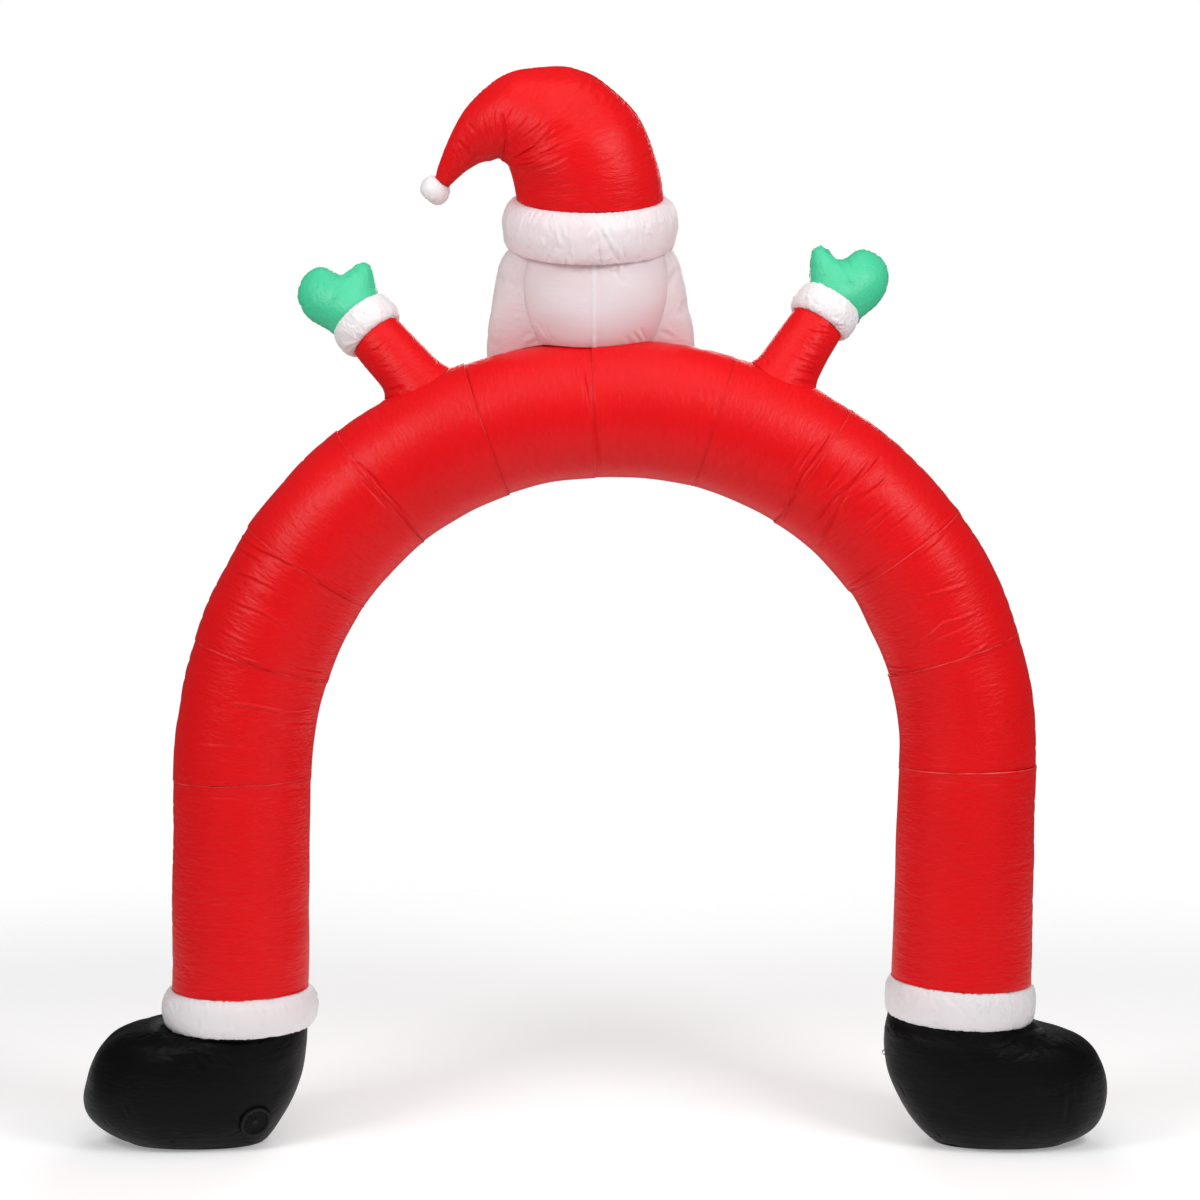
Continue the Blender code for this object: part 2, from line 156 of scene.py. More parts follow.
def spline(knots: Array, values: Array, at: Array) -> Array:
    """A smooth curve through values.

    Args:
        knots: rising places of the values.
        values: one value, ring or point for each knot.
        at: the places to read.

    Returns:
        The values there.
    """
    slope = np.gradient(values, knots, axis=0)
    low = np.clip(np.searchsorted(knots, at, side="right") - 1, 0, len(knots) - 2)
    step = knots[low + 1] - knots[low]
    tail = (1,) * (values.ndim - 1)
    share = ((at - knots[low]) / step).reshape(-1, *tail)
    step = step.reshape(-1, *tail)
    ease = share * share * (3.0 - 2.0 * share)
    start = values[low] * (1.0 - ease) + slope[low] * step * share * (1.0 - share) ** 2
    return start + values[low + 1] * ease - slope[low + 1] * step * share**2 * (1.0 - share)


def fading(distance: Array, reach: float | Array, power: float = 2) -> Array:
    """One at no distance, dying out within about the reach."""
    return np.exp(-((distance / reach) ** power))


def around(columns: int) -> Array:
    """The angles of a ring's columns, as a row of numbers."""
    return np.arange(columns)[None] * TAU / columns


def ellipse(centre: Sequence[float], across: Sequence[float], deep: Sequence[float], count: int) -> Array:
    """Points round an ellipse spanned by two half-axis vectors, from the first one on."""
    turn = np.arange(count)[:, None] * TAU / count
    return np.array(centre) + np.array(across) * np.cos(turn) + np.array(deep) * np.sin(turn)


def frame_along(origin: Vector, direction: Vector) -> Matrix:
    """A frame at the origin whose Z axis runs along the direction."""
    return Matrix.Translation(origin) @ direction.to_track_quat("Z", "Y").to_matrix().to_4x4()


def lift(height: float) -> Matrix:
    """A move up by that height."""
    return Matrix.Translation((0.0, 0.0, height))


def placed(points: Array, seat: Matrix) -> Array:
    """Points of a seat's own frame, in the arch's frame."""
    turn = np.array(seat)
    return points @ turn[:3, :3].T + turn[:3, 3]


def seen_from(seat: Matrix, points: Array) -> Array:
    """Points of the arch's frame, in a seat's own frame."""
    turn = np.array(seat)
    return (points - turn[:3, 3]) @ turn[:3, :3]


def added(name: str, data: bpy.types.ID) -> Piece:
    """A new object in the scene."""
    piece = bpy.data.objects.new(name, data)
    bpy.context.scene.collection.objects.link(piece)
    return piece


# ---- node trees ----


@dataclass
class Nodes:
    """A node tree in the making."""

    tree: Tree

    def feed(self, node: Node, inputs: Inputs) -> None:
        """Sets a node's inputs to numbers, or links them to the sockets that feed them."""
        for key, value in inputs.items():
            if isinstance(value, Socket):
                self.tree.links.new(value, node.inputs[key])
            else:
                node.inputs[key].default_value = value

    def add(self, kind: str, inputs: Optional[Inputs] = None, **settings: object) -> bpy.types.NodeOutputs:
        """Adds a node.

        Args:
            kind: the node's type.
            inputs: numbers and sockets that go into it, by the name or the place of the input.
            settings: what else is set on it.

        Returns:
            Its outputs.
        """
        node = self.tree.nodes.new(kind)
        for name, value in settings.items():
            setattr(node, name, value)
        self.feed(node, inputs or {})
        return node.outputs

    def ramp(self, level: Socket, low: tuple[float, Colour], high: tuple[float, Colour]) -> Socket:
        """A colour between two, each with the level at which it is reached."""
        node = self.tree.nodes.new("ShaderNodeValToRGB")
        for element, (place, colour) in zip(node.color_ramp.elements, (low, high)):
            element.position = place
            element.color = (*colour, 1.0)
        self.feed(node, {"Fac": level})
        return node.outputs["Color"]

    def laid_over(self, share: Socket, under: Socket, over: Colour) -> Socket:
        """A colour with another one laid over it by a share."""
        return self.add("ShaderNodeMix", {"Factor": share, "A": under, "B": (*over, 1.0)}, data_type="RGBA")["Result"]

    def bump(self, height: Socket, strength: float, distance: float, normal: Optional[Socket] = None) -> Socket:
        """A relief, on top of another one if a normal is given."""
        inputs = {"Height": height, "Strength": strength, "Distance": distance}
        return self.add("ShaderNodeBump", inputs | ({"Normal": normal} if normal else {}))["Normal"]

    def blend(self, share: Socket, first: Socket, second: Socket) -> Socket:
        """A blend of two shaders."""
        return self.add("ShaderNodeMixShader", {"Fac": share, 1: first, 2: second})["Shader"]

    def maths(self, operation: str, first: Socket | float, second: Socket | float = 0.0) -> Socket:
        """One sum of two sockets or numbers."""
        return self.add("ShaderNodeMath", {0: first, 1: second}, operation=operation)["Value"]

    def vector(self, x: Socket | float, y: Socket | float, z: Socket | float) -> Socket:
        """A vector of sockets or numbers."""
        return self.add("ShaderNodeCombineXYZ", {"X": x, "Y": y, "Z": z})["Vector"]

    def scattered(self, count: Socket, shape: Socket, **settings: Socket) -> Socket:
        """Instances of a shape, one for each number up to the count."""
        line = self.add("GeometryNodeMeshLine", {"Offset": (0.0, 0.0, 0.0), "Count": count})["Mesh"]
        return self.add("GeometryNodeInstanceOnPoints", {"Points": line, "Instance": shape} | settings)["Instances"]

    def joined(self, *parts: Socket) -> Socket:
        """The parts as one shape, with no instances left."""
        join = self.tree.nodes.new("GeometryNodeJoinGeometry")
        for part in parts:
            self.feed(join, {"Geometry": part})
        return self.add("GeometryNodeRealizeInstances", {"Geometry": join.outputs["Geometry"]})["Geometry"]

    def ended(self, finish: Socket, *parts: Socket) -> Tree:
        """The tree of shapes, ended with its parts joined, made real and given their finish."""
        done = self.add("GeometryNodeSetMaterial", {"Geometry": self.joined(*parts), "Material": finish})["Geometry"]
        self.add("NodeGroupOutput", {"Geometry": done})
        return self.tree


def shape_tree(name: str, inputs: dict[str, str]) -> tuple[Nodes, bpy.types.NodeOutputs]:
    """A Geometry Nodes tree with named inputs.

    Args:
        name: the tree's name.
        inputs: the name and the kind of each input beside the geometry and its finish.

    Returns:
        The tree, and the sockets through which its inputs come in.
    """
    tree = bpy.data.node_groups.new(name, "GeometryNodeTree")
    for label, kind in {"Geometry": "Geometry", **inputs, "Finish": "Material"}.items():
        tree.interface.new_socket(label, in_out="INPUT", socket_type=f"NodeSocket{kind}")
    tree.interface.new_socket("Geometry", in_out="OUTPUT", socket_type="NodeSocketGeometry")
    nodes = Nodes(tree)
    return nodes, nodes.add("NodeGroupInput")


def new_finish(name: str) -> tuple[bpy.types.Material, Nodes, Node]:
    """A new material, its tree and its shader."""
    finish = bpy.data.materials.new(name)
    finish.use_nodes = True
    return finish, Nodes(finish.node_tree), finish.node_tree.nodes["Principled BSDF"]


# ---- finishes ----


@dataclass(frozen=True)
class Cloth:
    """Thin woven nylon: its colour varies a little, it is finely crinkled, and it has a soft sheen.

    Its last colour is painted where a form's attribute of the same name asks for it: a painted red bounce on white
    cloth near the red cloth, and a painted highlight on red cloth along the fold at a seam that faces up. Its light
    colour is a painted highlight laid on the crinkles.
    """

    name: str
    colour: Colour
    deep: Colour
    light: Colour
    roughness: float = 0.40
    specular: float = 0.40
    sheen: float = 0.01
    sheen_tint: Colour = (1.0, 1.0, 1.0)
    crinkle: float = 0.85
    weave_pitch: float = 0.0009
    gloss_spread: float = 0.07
    scatter: float = 0.0
    # painted light colour: painted red bounce on white cloth, painted seam highlight on red cloth
    painted_light: Optional[Colour] = None

    def material(self) -> bpy.types.Material:
        """Builds the finish's material."""
        finish, nodes, shader = new_finish(self.name)
        nodes.feed(
            shader,
            {
                "Sheen Weight": self.sheen,
                "Sheen Roughness": 0.4,
                "Sheen Tint": (*self.sheen_tint, 1.0),
                "Specular IOR Level": self.specular,
                "Subsurface Weight": self.scatter,
                "Subsurface Radius": (1.0, 0.6, 0.55),
                "Subsurface Scale": 0.02,
            },
        )
        place = nodes.add("ShaderNodeTexCoord")
        fine = self._noise(nodes, place["UV"], (26.0, 70.0, 1.0), 3.0)
        low, high = self.roughness + self.gloss_spread, self.roughness - self.gloss_spread
        gloss = nodes.add("ShaderNodeMapRange", {"To Min": low, "To Max": high, "Value": fine})["Result"]
        colour = self._coloured(nodes, self._noise(nodes, place["Object"], (2.6, 2.6, 2.6), 2.0), fine)
        relief = self._relief(nodes, place["UV"])
        nodes.feed(shader, {"Base Color": colour, "Roughness": gloss, "Normal": relief})
        return finish

    def _noise(self, nodes: Nodes, source: Socket, scale: Colour, detail: float) -> Socket:
        """A noise over a mapped source; scale is waves for each metre along X, Y and Z."""
        mapped = nodes.add("ShaderNodeMapping", {"Scale": scale, "Vector": source})["Vector"]
        return nodes.add("ShaderNodeTexNoise", {"Scale": 1.0, "Detail": detail, "Vector": mapped})["Fac"]

    def _coloured(self, nodes: Nodes, patch: Socket, fine: Socket) -> Socket:
        """Patches of deeper and lighter dye, a painted highlight on the crinkles, and the form's painted red bounce or
        painted seam highlight if the cloth has one.
        """
        dyed = nodes.ramp(patch, (0.30, self.deep), (0.72, self.colour))
        # painted highlight: where the crinkle noise is high, the colour is lightened towards the light colour
        lit = nodes.add("ShaderNodeMapRange", {"From Min": 0.52, "From Max": 0.80, "To Max": 0.14, "Value": fine})
        cloth = nodes.laid_over(lit["Result"], dyed, self.light)
        # painted light read from the form's attribute: painted red bounce on white, painted seam highlight on red
        if not self.painted_light:
            return cloth
        return nodes.laid_over(nodes.add("ShaderNodeAttribute", attribute_name="painted_light")["Fac"], cloth, self.painted_light)

    def _relief(self, nodes: Nodes, place: Socket) -> Socket:
        """Fine crinkles across the cloth, and its weave."""
        normal = None
        for scale, detail, strength, depth in (
            ((11.0, 42.0, 1.0), 2.0, self.crinkle * 0.8, 0.0026),
            ((34.0, 125.0, 1.0), 3.0, self.crinkle, 0.0015),
            ((170.0, 210.0, 1.0), 2.0, self.crinkle, 0.0006),
        ):
            normal = nodes.bump(self._noise(nodes, place, scale, detail), strength, depth, normal)
        thread = {"Scale": 0.314 / self.weave_pitch, "Distortion": 0.3, "Vector": place}
        weft, warp = (nodes.add("ShaderNodeTexWave", thread, bands_direction=axis)["Fac"] for axis in ("X", "Y"))
        return nodes.bump(nodes.maths("MAXIMUM", weft, warp), 0.12, 0.0001, normal)


@dataclass(frozen=True)
class MouldedPlastic:
    """Matt moulded plastic with a fine spark-eroded grain."""

    name: str
    colour: Colour
    roughness: float = 0.60
    specular: float = 0.20

    def material(self) -> bpy.types.Material:
        """Builds the finish's material."""
        finish, nodes, shader = new_finish(self.name)
        place = nodes.add("ShaderNodeTexCoord")["Object"]
        grain = nodes.add("ShaderNodeTexNoise", {"Scale": 900.0, "Detail": 3.0, "Vector": place})["Fac"]
        dark, pale = (tuple(share * c for c in self.colour) for share in (0.7, 1.4))
        low, high = self.roughness - 0.08, self.roughness + 0.10
        inputs = {
            "Specular IOR Level": self.specular,
            "Base Color": nodes.ramp(grain, (0.0, dark), (1.0, pale)),
            "Roughness": nodes.add("ShaderNodeMapRange", {"To Min": low, "To Max": high, "Value": grain})["Result"],
            "Normal": nodes.bump(grain, 0.3, 0.0002),
        }
        nodes.feed(shader, inputs)
        return finish


# Each cloth's third colour is a painted highlight laid on its crinkles.
FINISHES = {
    # the red's last colour is a painted highlight along the seams' folds that face up
    Slot.RED: Cloth(
        "red_nylon", (0.760, 0.003, 0.006), (0.70, 0.002, 0.004), (0.86, 0.018, 0.024),
        roughness=0.42, specular=0.19, crinkle=1.25, painted_light=(0.98, 0.11, 0.11), sheen_tint=(1.0, 0.30, 0.30),
    ),
    # the white's last colour is a painted red bounce from the red cloth near it
    Slot.WHITE: Cloth(
        "white_nylon", (0.83, 0.80, 0.815), (0.79, 0.755, 0.77), (0.88, 0.86, 0.87),
        roughness=0.46, specular=0.30, crinkle=0.50, scatter=0.4, painted_light=(0.76, 0.36, 0.40),
    ),
    Slot.GREEN: Cloth(
        "green_nylon", (0.080, 0.64, 0.36), (0.040, 0.52, 0.26), (0.24, 0.80, 0.56), sheen_tint=(0.6, 1.0, 0.8)
    ),
    Slot.BLACK: Cloth(
        "black_nylon", (0.0028, 0.0028, 0.0032), (0.0018, 0.0018, 0.0022), (0.0050, 0.0050, 0.0056),
        roughness=0.46, specular=0.09,
    ),
    Slot.PLASTIC: MouldedPlastic("black_plastic", (0.006, 0.006, 0.0065)),
}  # fmt: skip


class Wardrobe:
    """Makes each finish's material once, and puts finished pieces on the frame."""

    def __init__(self) -> None:
        """Starts with no material made."""
        self._made: dict[Slot, bpy.types.Material] = {}

    def material(self, slot: Slot) -> bpy.types.Material:
        """The slot's material."""
        if slot not in self._made:
            self._made[slot] = FINISHES[slot].material()
        return self._made[slot]

    def fit(self, piece: Piece, slot: Slot, node: Optional[str] = None) -> Piece:
        """Rides a finished piece on the frame.

        Args:
            piece: the finished piece.
            slot: where its finish is from.
            node: the CAD node that it stands for, if any.

        Returns:
            The piece.
        """
        if not piece.data.materials:
            piece.data.materials.append(self.material(slot))
        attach(piece, BODY)
        if node:
            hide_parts(node)
        log.info("%s: %d faces", piece.name, len(piece.data.polygons))
        return piece


WARDROBE = Wardrobe()


# ---- shells of cloth ----


def quads(index: Array) -> Array:
    """The corners of a grid's faces, where its columns close into a ring."""
    onward = np.roll(index, -1, axis=1)
    return np.stack([index[:-1], onward[:-1], onward[1:], index[1:]], -1).reshape(-1, 4)


def hemmed(rim: Array, inner: Array) -> Array:
    """The points a hem's width in from a rim, toward the row beside it."""
    step = np.linalg.norm(inner - rim, axis=1, keepdims=True)
    return rim + (inner - rim) * np.minimum(HEM / step, 0.5)


@dataclass
class Shell:
    """A form of cloth as a grid of points: rows along it, columns round it."""

    points: Array

    @classmethod
    def lofted(cls, rings: Sequence[Array], rows: int) -> "Shell":
        """A smooth shell through rings of equally many points, its rows evenly spaced."""
        stack = np.array(rings)
        steps = np.linalg.norm(np.diff(stack, axis=0), axis=2).mean(axis=1)
        knots = np.concatenate([[0.0], np.cumsum(steps)])
        return cls(spline(knots, stack, np.linspace(0.0, knots[-1], rows)))

    @property
    def shape(self) -> tuple[int, int]:
        """Rows and columns."""
        return self.points.shape[0], self.points.shape[1]

    @property
    def size(self) -> tuple[float, float]:
        """Length and girth, in metres."""
        length = np.linalg.norm(np.diff(self.points, axis=0), axis=2).mean(axis=1).sum()
        girth = np.linalg.norm(self.points - np.roll(self.points, 1, axis=1), axis=2).sum(axis=1).max()
        return float(length), float(girth)

    def normals(self) -> Array:
        """Directions out of the cloth."""
        out = self._crossed()
        return out / np.maximum(np.linalg.norm(out, axis=2, keepdims=True), 1e-12) * self._facing()

    def pushed(self, heights: Array) -> "Shell":
        """The shell with its points moved out by heights."""
        return Shell(self.points + self.normals() * heights[..., None])

    def finer(self, rows: int, columns: int) -> "Shell":
        """The same form with more rows and columns."""
        waves = np.fft.rfft(self.points, axis=1)
        wide = np.fft.irfft(waves, n=columns, axis=1) * (columns / self.shape[1])
        return Shell(spline(np.arange(float(len(wide))), wide, np.linspace(0.0, len(wide) - 1.0, rows)))

    def from_ends(self) -> tuple[Array, Array]:
        """How far each row is from the first and from the last one, in metres, as columns of numbers."""
        along = np.linspace(0.0, self.size[0], self.shape[0])[:, None]
        return along, along[::-1]

    def random(self, waves: tuple[float, float], seed: int, low_cut: float = 0.5) -> Array:
        """Smooth random heights over the shell."""
        return random_heights(self.shape, self.size, waves, seed, low_cut)

    def gathers(self, pitch: float, reach: float, seed: int, low: float = 1.0, high: float = 1.0) -> Array:
        """Sharp-valleyed gathers that die out away from the sewn ends.

        Args:
            pitch: from one gather to the next, in metres.
            reach: how far they run from an end, in metres.
            seed: the draw's fixed seed.
            low: how strong they are at the first row.
            high: how strong they are at the last row.

        Returns:
            Heights from nought down to about minus one, at the ends.
        """
        fine = self.random((reach * 1.5, pitch), seed)
        slow = 1.0 + 0.5 * self.random((reach * 3.0, pitch * 9.0), seed + 1)
        first, last = self.from_ends()
        reaches = np.clip(reach * (1.0 + 0.5 * self.random((1.0, pitch * 3.0), seed + 2)), reach * 0.3, reach * 2.5)
        fade = low * fading(first, reaches, 1.5) + high * fading(last, reaches, 1.5)
        return -fading(fine, VALLEY) * np.clip(slow, 0.2, 2.0) * fade

    def puckers(self, waves: tuple[float, float], seed: int) -> Array:
        """How deep each point is in a pucker, from nought to one."""
        return fading(self.random(waves, seed), VALLEY)

    def folds(self, zones: Iterable[Zone], seed: int) -> Array:
        """Heights of fine sharp folds, patch by patch."""
        rows, columns = self.shape
        share = np.linspace(0.0, 1.0, rows)[:, None]
        turn = np.arange(columns)[None] * 360.0 / columns
        total = np.zeros(self.shape)
        for number, zone in enumerate(zones):
            fold, length = zone.fold * 0.001, zone.length * 0.001
            waves = self.random((length, fold) if zone.lengthways else (fold, length), seed + 3 * number)
            slow = np.clip(0.6 + 0.7 * self.random((length, length), seed + 3 * number + 1), 0.0, 1.8)
            away = (turn - zone.round + 180.0) % 360.0 - 180.0
            mask = np.exp(-(((share - zone.along) / zone.along_reach) ** 2) - (away / zone.round_reach) ** 2)
            total -= zone.height * 0.001 * fading(waves, zone.line) * slow * mask
        return total

    def creases(self, lines: Iterable[Crease]) -> Array:
        """Heights of pressed-in lines, each with a soft lip beside it."""
        length, girth = self.size
        along = np.linspace(0.0, length, self.shape[0])[:, None]
        across = np.arange(self.shape[1])[None] * girth / self.shape[1]
        total = np.zeros(self.shape)
        for crease in lines:
            start = np.array((crease.along_start * length, crease.round_start / 360.0 * girth))
            run = np.array((crease.along_end * length, crease.round_end / 360.0 * girth)) - start
            reach = float(np.hypot(*run))
            middle = start[1] + run[1] / 2.0
            from_start = (across - middle + girth / 2.0) % girth - girth / 2.0 + run[1] / 2.0
            share = ((along - start[0]) * run[0] + from_start * run[1]) / reach**2
            bend = crease.bow * 0.001 * 4.0 * share * (1.0 - share)
            side = ((along - start[0]) * run[1] - from_start * run[0]) / reach + bend
            fade = np.sqrt(np.clip(4.0 * share * (1.0 - share), 0.0, 1.0))
            width = crease.width * 0.001
            profile = fading(side, width) - 0.45 * fading(side - 2.0 * width, 1.4 * width)
            total -= crease.depth * 0.001 * profile * fade
        return total

    def settled(self, pressure: float, bending: float, frames: int, cap: float, pins: Sequence[int] = ()) -> "Shell":
        """The shell blown up by Blender's cloth simulation, its sewn rows and columns held.

        Args:
            pressure: the air's push.
            bending: how stiff the cloth is.
            frames: how many frames are run.
            cap: the furthest that a point may move, in metres.
            pins: columns that are held along their whole length, as well as both ends.
        """
        rows, columns = self.shape
        index = np.arange(rows * columns).reshape(rows, columns)
        mesh = bpy.data.meshes.new("settling")
        mesh.from_pydata(self.points.reshape(-1, 3).tolist(), [], quads(index).tolist())
        cloth = added("settling", mesh)
        scene = bpy.context.scene
        held = np.concatenate([index[0], index[-1]] + [index[:, column] for column in pins])
        cloth.vertex_groups.new(name="held").add([int(i) for i in held], 1.0, "REPLACE")
        modifier = cloth.modifiers.new("Cloth", "CLOTH")
        modifier.point_cache.frame_end = frames + 2
        modifier.collision_settings.use_collision = False
        settings = modifier.settings
        settings.quality = 5
        settings.mass = 0.1
        settings.air_damping = 2.0
        settings.tension_stiffness = settings.compression_stiffness = 40.0
        settings.shear_stiffness = 10.0
        settings.bending_stiffness = bending
        settings.tension_damping = settings.compression_damping = settings.shear_damping = 10.0
        settings.use_pressure = True
        settings.uniform_pressure_force = pressure * self._facing()
        settings.vertex_group_mass = "held"
        settings.effector_weights.gravity = 0.0
        for number in range(1, frames + 1):
            scene.frame_set(number)
        found = np.zeros(rows * columns * 3)
        evaluated = cloth.evaluated_get(bpy.context.evaluated_depsgraph_get())
        evaluated.to_mesh().vertices.foreach_get("co", found)
        evaluated.to_mesh_clear()
        bpy.data.objects.remove(cloth)
        bpy.data.meshes.remove(mesh)
        scene.frame_set(1)
        move = found.reshape(rows, columns, 3) - self.points
        reach = np.linalg.norm(move, axis=2, keepdims=True)
        return Shell(self.points + move * np.minimum(1.0, cap / np.maximum(reach, 1e-9)))

    def squared(self, end: int, reach: float) -> "Shell":
        """The shell, with its cloth run straight on to one end, as it is where two lengths are sewn together.

        Args:
            end: 0 for the first end, -1 for the last.
            reach: how far from the end the cloth is straight, in metres.

        Returns:
            A new shell.
        """
        rows = range(max(1, round(reach / self.size[0] * (self.shape[0] - 1))))
        kept = len(rows) if end == 0 else self.shape[0] - 1 - len(rows)
        points = self.points.copy()
        centre = points[kept].mean(axis=0)
        axis = points[end].mean(axis=0) - centre
        axis /= max(np.linalg.norm(axis), 1e-9)
        off = points[kept] - centre
        off -= (off @ axis)[:, None] * axis
        for row in rows:
            place = row if end == 0 else self.shape[0] - 1 - row
            middle = points[place].mean(axis=0)
            points[place] = middle + off + ((points[place] - middle) @ axis)[:, None] * axis
        return Shell(points)

    def _crossed(self) -> Array:
        """The grid's directions round and along it, crossed."""
        around_it = np.roll(self.points, -1, axis=1) - np.roll(self.points, 1, axis=1)
        return np.cross(around_it, np.gradient(self.points, axis=0))

    def _facing(self) -> float:
        """1 if the grid's own faces point out, else -1."""
        return 1.0 if (self._crossed() * (self.points - self.points.mean(axis=1, keepdims=True))).sum() > 0.0 else -1.0

    def built(self, name: str, turn_in: float = 0.004, close: float = 0.05, painted_light: Optional[Array] = None) -> Piece:
        """A closed object of the shell, its ends turned in and shut.

        Args:
            name: the piece's name.
            turn_in: how far the turned-in edge goes into the form, in metres.
            close: share of the way to the middle at which the edge turns.
            painted_light: how far each point takes its finish's painted light colour, a painted red bounce on white
                cloth or a painted seam highlight on red, if any does.

        Returns:
            The object, with a UV map in metres of cloth.
        """
        caps = []
        for end, inner in ((0, 1), (-1, -2)):
            centre = self.points[end].mean(axis=0)
            inward = self.points[inner].mean(axis=0) - centre
            inward /= max(np.linalg.norm(inward), 1e-9)
            edge = self.points[end] + (centre - self.points[end]) * close + inward * turn_in
            hem = hemmed(self.points[end], self.points[inner])
            caps.append((edge[None], hem[None], centre + inward * turn_in))
        first, last = caps
        grid = np.concatenate(
            [first[0], self.points[:1], first[1], self.points[1:-1], last[1], self.points[-1:], last[0]]
        )
        rows, columns = grid.shape[:2]
        points = np.concatenate([grid.reshape(-1, 3), [first[2], last[2]]])
        index = np.arange(rows * columns).reshape(rows, columns)
        onward = np.roll(index, -1, axis=1)
        low = np.stack([onward[0], index[0], np.full(columns, rows * columns)], -1)
        high = np.stack([index[-1], onward[-1], np.full(columns, rows * columns + 1)], -1)
        order = slice(None, None, int(self._facing()))
        faces = [face[:, order].tolist() for face in (quads(index), low, high)]
        mesh = bpy.data.meshes.new(name)
        mesh.from_pydata(points.tolist(), [], sum(faces, []))
        self._unfold(mesh, rows, columns)
        # painted light: each point's share of its finish's painted colour, kept as a mesh attribute for the material
        if painted_light is not None:
            level = mesh.attributes.new("painted_light", "FLOAT", "POINT")
            grown = np.concatenate([painted_light[:1], painted_light[:1], painted_light, painted_light[-1:], painted_light[-1:]])
            level.data.foreach_set("value", np.append(grown.ravel(), [grown[0].mean(), grown[-1].mean()]))
        mesh.shade_smooth()
        return added(name, mesh)

    def _unfold(self, mesh: bpy.types.Mesh, rows: int, columns: int) -> None:
        """Gives the mesh a UV map: metres round the cloth, metres along it."""
        length, girth = self.size
        corners = np.zeros(len(mesh.loops), int)
        mesh.loops.foreach_get("vertex_index", corners)
        column = corners % columns
        row = np.minimum(corners // columns, rows)
        in_quads = (rows - 1) * columns * 4
        shaped = column[:in_quads].reshape(-1, 4)
        wraps = (shaped.max(axis=1) - shaped.min(axis=1)) > 1
        shaped[wraps] = np.where(shaped[wraps] == 0, columns, shaped[wraps])
        place = np.stack([column * girth / columns, row * length / max(rows - 1, 1)], -1)
        unfolded = mesh.uv_layers.new(name="cloth")
        unfolded.data.foreach_set("uv", place.astype(np.float32).ravel())

    def path(self, row: int) -> Array:
        """Where a thread lies along a row."""
        return self.points[row] + self.normals()[row] * THREAD_LIFT

    def beside(self, degrees: float) -> Array:
        """How far each column is from the one at those degrees, in metres round the shell."""
        columns = self.shape[1]
        return (np.arange(columns)[None] * 360.0 / columns - degrees) / 360.0 * self.size[1]

    def off_start(self, girth: float) -> Array:
        """How far each column is from the first one, the shorter way round a girth."""
        place = np.arange(self.shape[1])[None] / self.shape[1]
        return np.minimum(place, 1.0 - place) * girth

    def calm(self, reach: float) -> Array:
        """Nought at both ends, one from the reach on."""
        return np.clip(np.minimum(*self.from_ends()) / reach, 0.0, 1.0)


# ---- stitching ----


def baked(name: str, holder: Piece, tree: Tree, slot: Slot, values: dict[str, object]) -> Piece:
    """A plain piece of what a tree of shapes makes of a holder, with the holder removed.

    Args:
        name: the new piece's name.
        holder: the object that goes into the tree.
        tree: the tree.
        slot: where the piece's finish is from.
        values: the tree's other inputs.

    Returns:
        The new piece.
    """
    modifier = holder.modifiers.new(tree.name, "NODES")
    modifier.node_group = tree
    for label, value in {**values, "Finish": WARDROBE.material(slot)}.items():
        identifier = next(item.identifier for item in tree.interface.items_tree if item.name == label)
        modifier[identifier] = value
    evaluated = holder.evaluated_get(bpy.context.evaluated_depsgraph_get())
    mesh = bpy.data.meshes.new_from_object(evaluated)
    bpy.data.objects.remove(holder)
    mesh.name = name
    return added(name, mesh)


@dataclass
class Stitching:
    """Runs of sewing thread along paths on the cloth, made by Geometry Nodes."""

    name: str
    slot: Slot
    pitch: float = 0.0070
    stitch: float = 0.0048
    thread: float = 0.0005
    runs: list[Array] = field(default_factory=list)

    def along(self, path: Array) -> None:
        """Adds a run of stitches along a path that closes on itself."""
        self.runs.append(path)

    def tree(self) -> Tree:
        """The node tree that lays one thread bead at each stitch."""
        nodes, given = shape_tree(self.name, dict.fromkeys(("Pitch", "Stitch", "Thread"), "Float"))
        curve = nodes.add("GeometryNodeMeshToCurve", {"Mesh": given["Geometry"]})["Curve"]
        spread = nodes.add("GeometryNodeCurveToPoints", {"Curve": curve, "Length": given["Pitch"]}, mode="LENGTH")
        align = nodes.add("FunctionNodeAlignRotationToVector", {"Vector": spread["Tangent"]}, axis="X")["Rotation"]
        bead = nodes.add("GeometryNodeMeshUVSphere", {"Radius": 1.0, "Segments": 4, "Rings": 2})["Mesh"]
        halves = nodes.vector(nodes.maths("MULTIPLY", given["Stitch"], 0.5), given["Thread"], given["Thread"])
        laid = {"Points": spread["Points"], "Instance": bead, "Rotation": align, "Scale": halves}
        return nodes.ended(given["Finish"], nodes.add("GeometryNodeInstanceOnPoints", laid)["Instances"])

    def build(self) -> Piece:
        """Sews every run, as one piece."""
        points, edges = [], []
        for path in self.runs:
            first, count = len(points), len(path)
            points += path.tolist()
            edges += [(first + i, first + (i + 1) % count) for i in range(count)]
        mesh = bpy.data.meshes.new(self.name)
        mesh.from_pydata(points, edges, [])
        sizes = {"Pitch": self.pitch, "Stitch": self.stitch, "Thread": self.thread}
        piece = baked(self.name, added(self.name + "_runs", mesh), self.tree(), self.slot, sizes)
        piece.data.shade_smooth()
        return WARDROBE.fit(piece, self.slot)


# ---- the tube ----


class Seam(NamedTuple):
    """A seam of the tube: its angle, the arch's radius there and the tube's radius after it."""

    degrees: float
    arch_radius: float
    tube_radius: float

    @property
    def outward(self) -> Array:
        """The direction out of the arch."""
        angle = math.radians(self.degrees)
        return np.array((math.cos(angle), 0.0, math.sin(angle)))

    @property
    def onward(self) -> Array:
        """The direction on along the tube, to the left over the crown. Its Z is how far the seam faces up."""
        angle = math.radians(self.degrees)
        return np.array((-math.sin(angle), 0.0, math.cos(angle)))


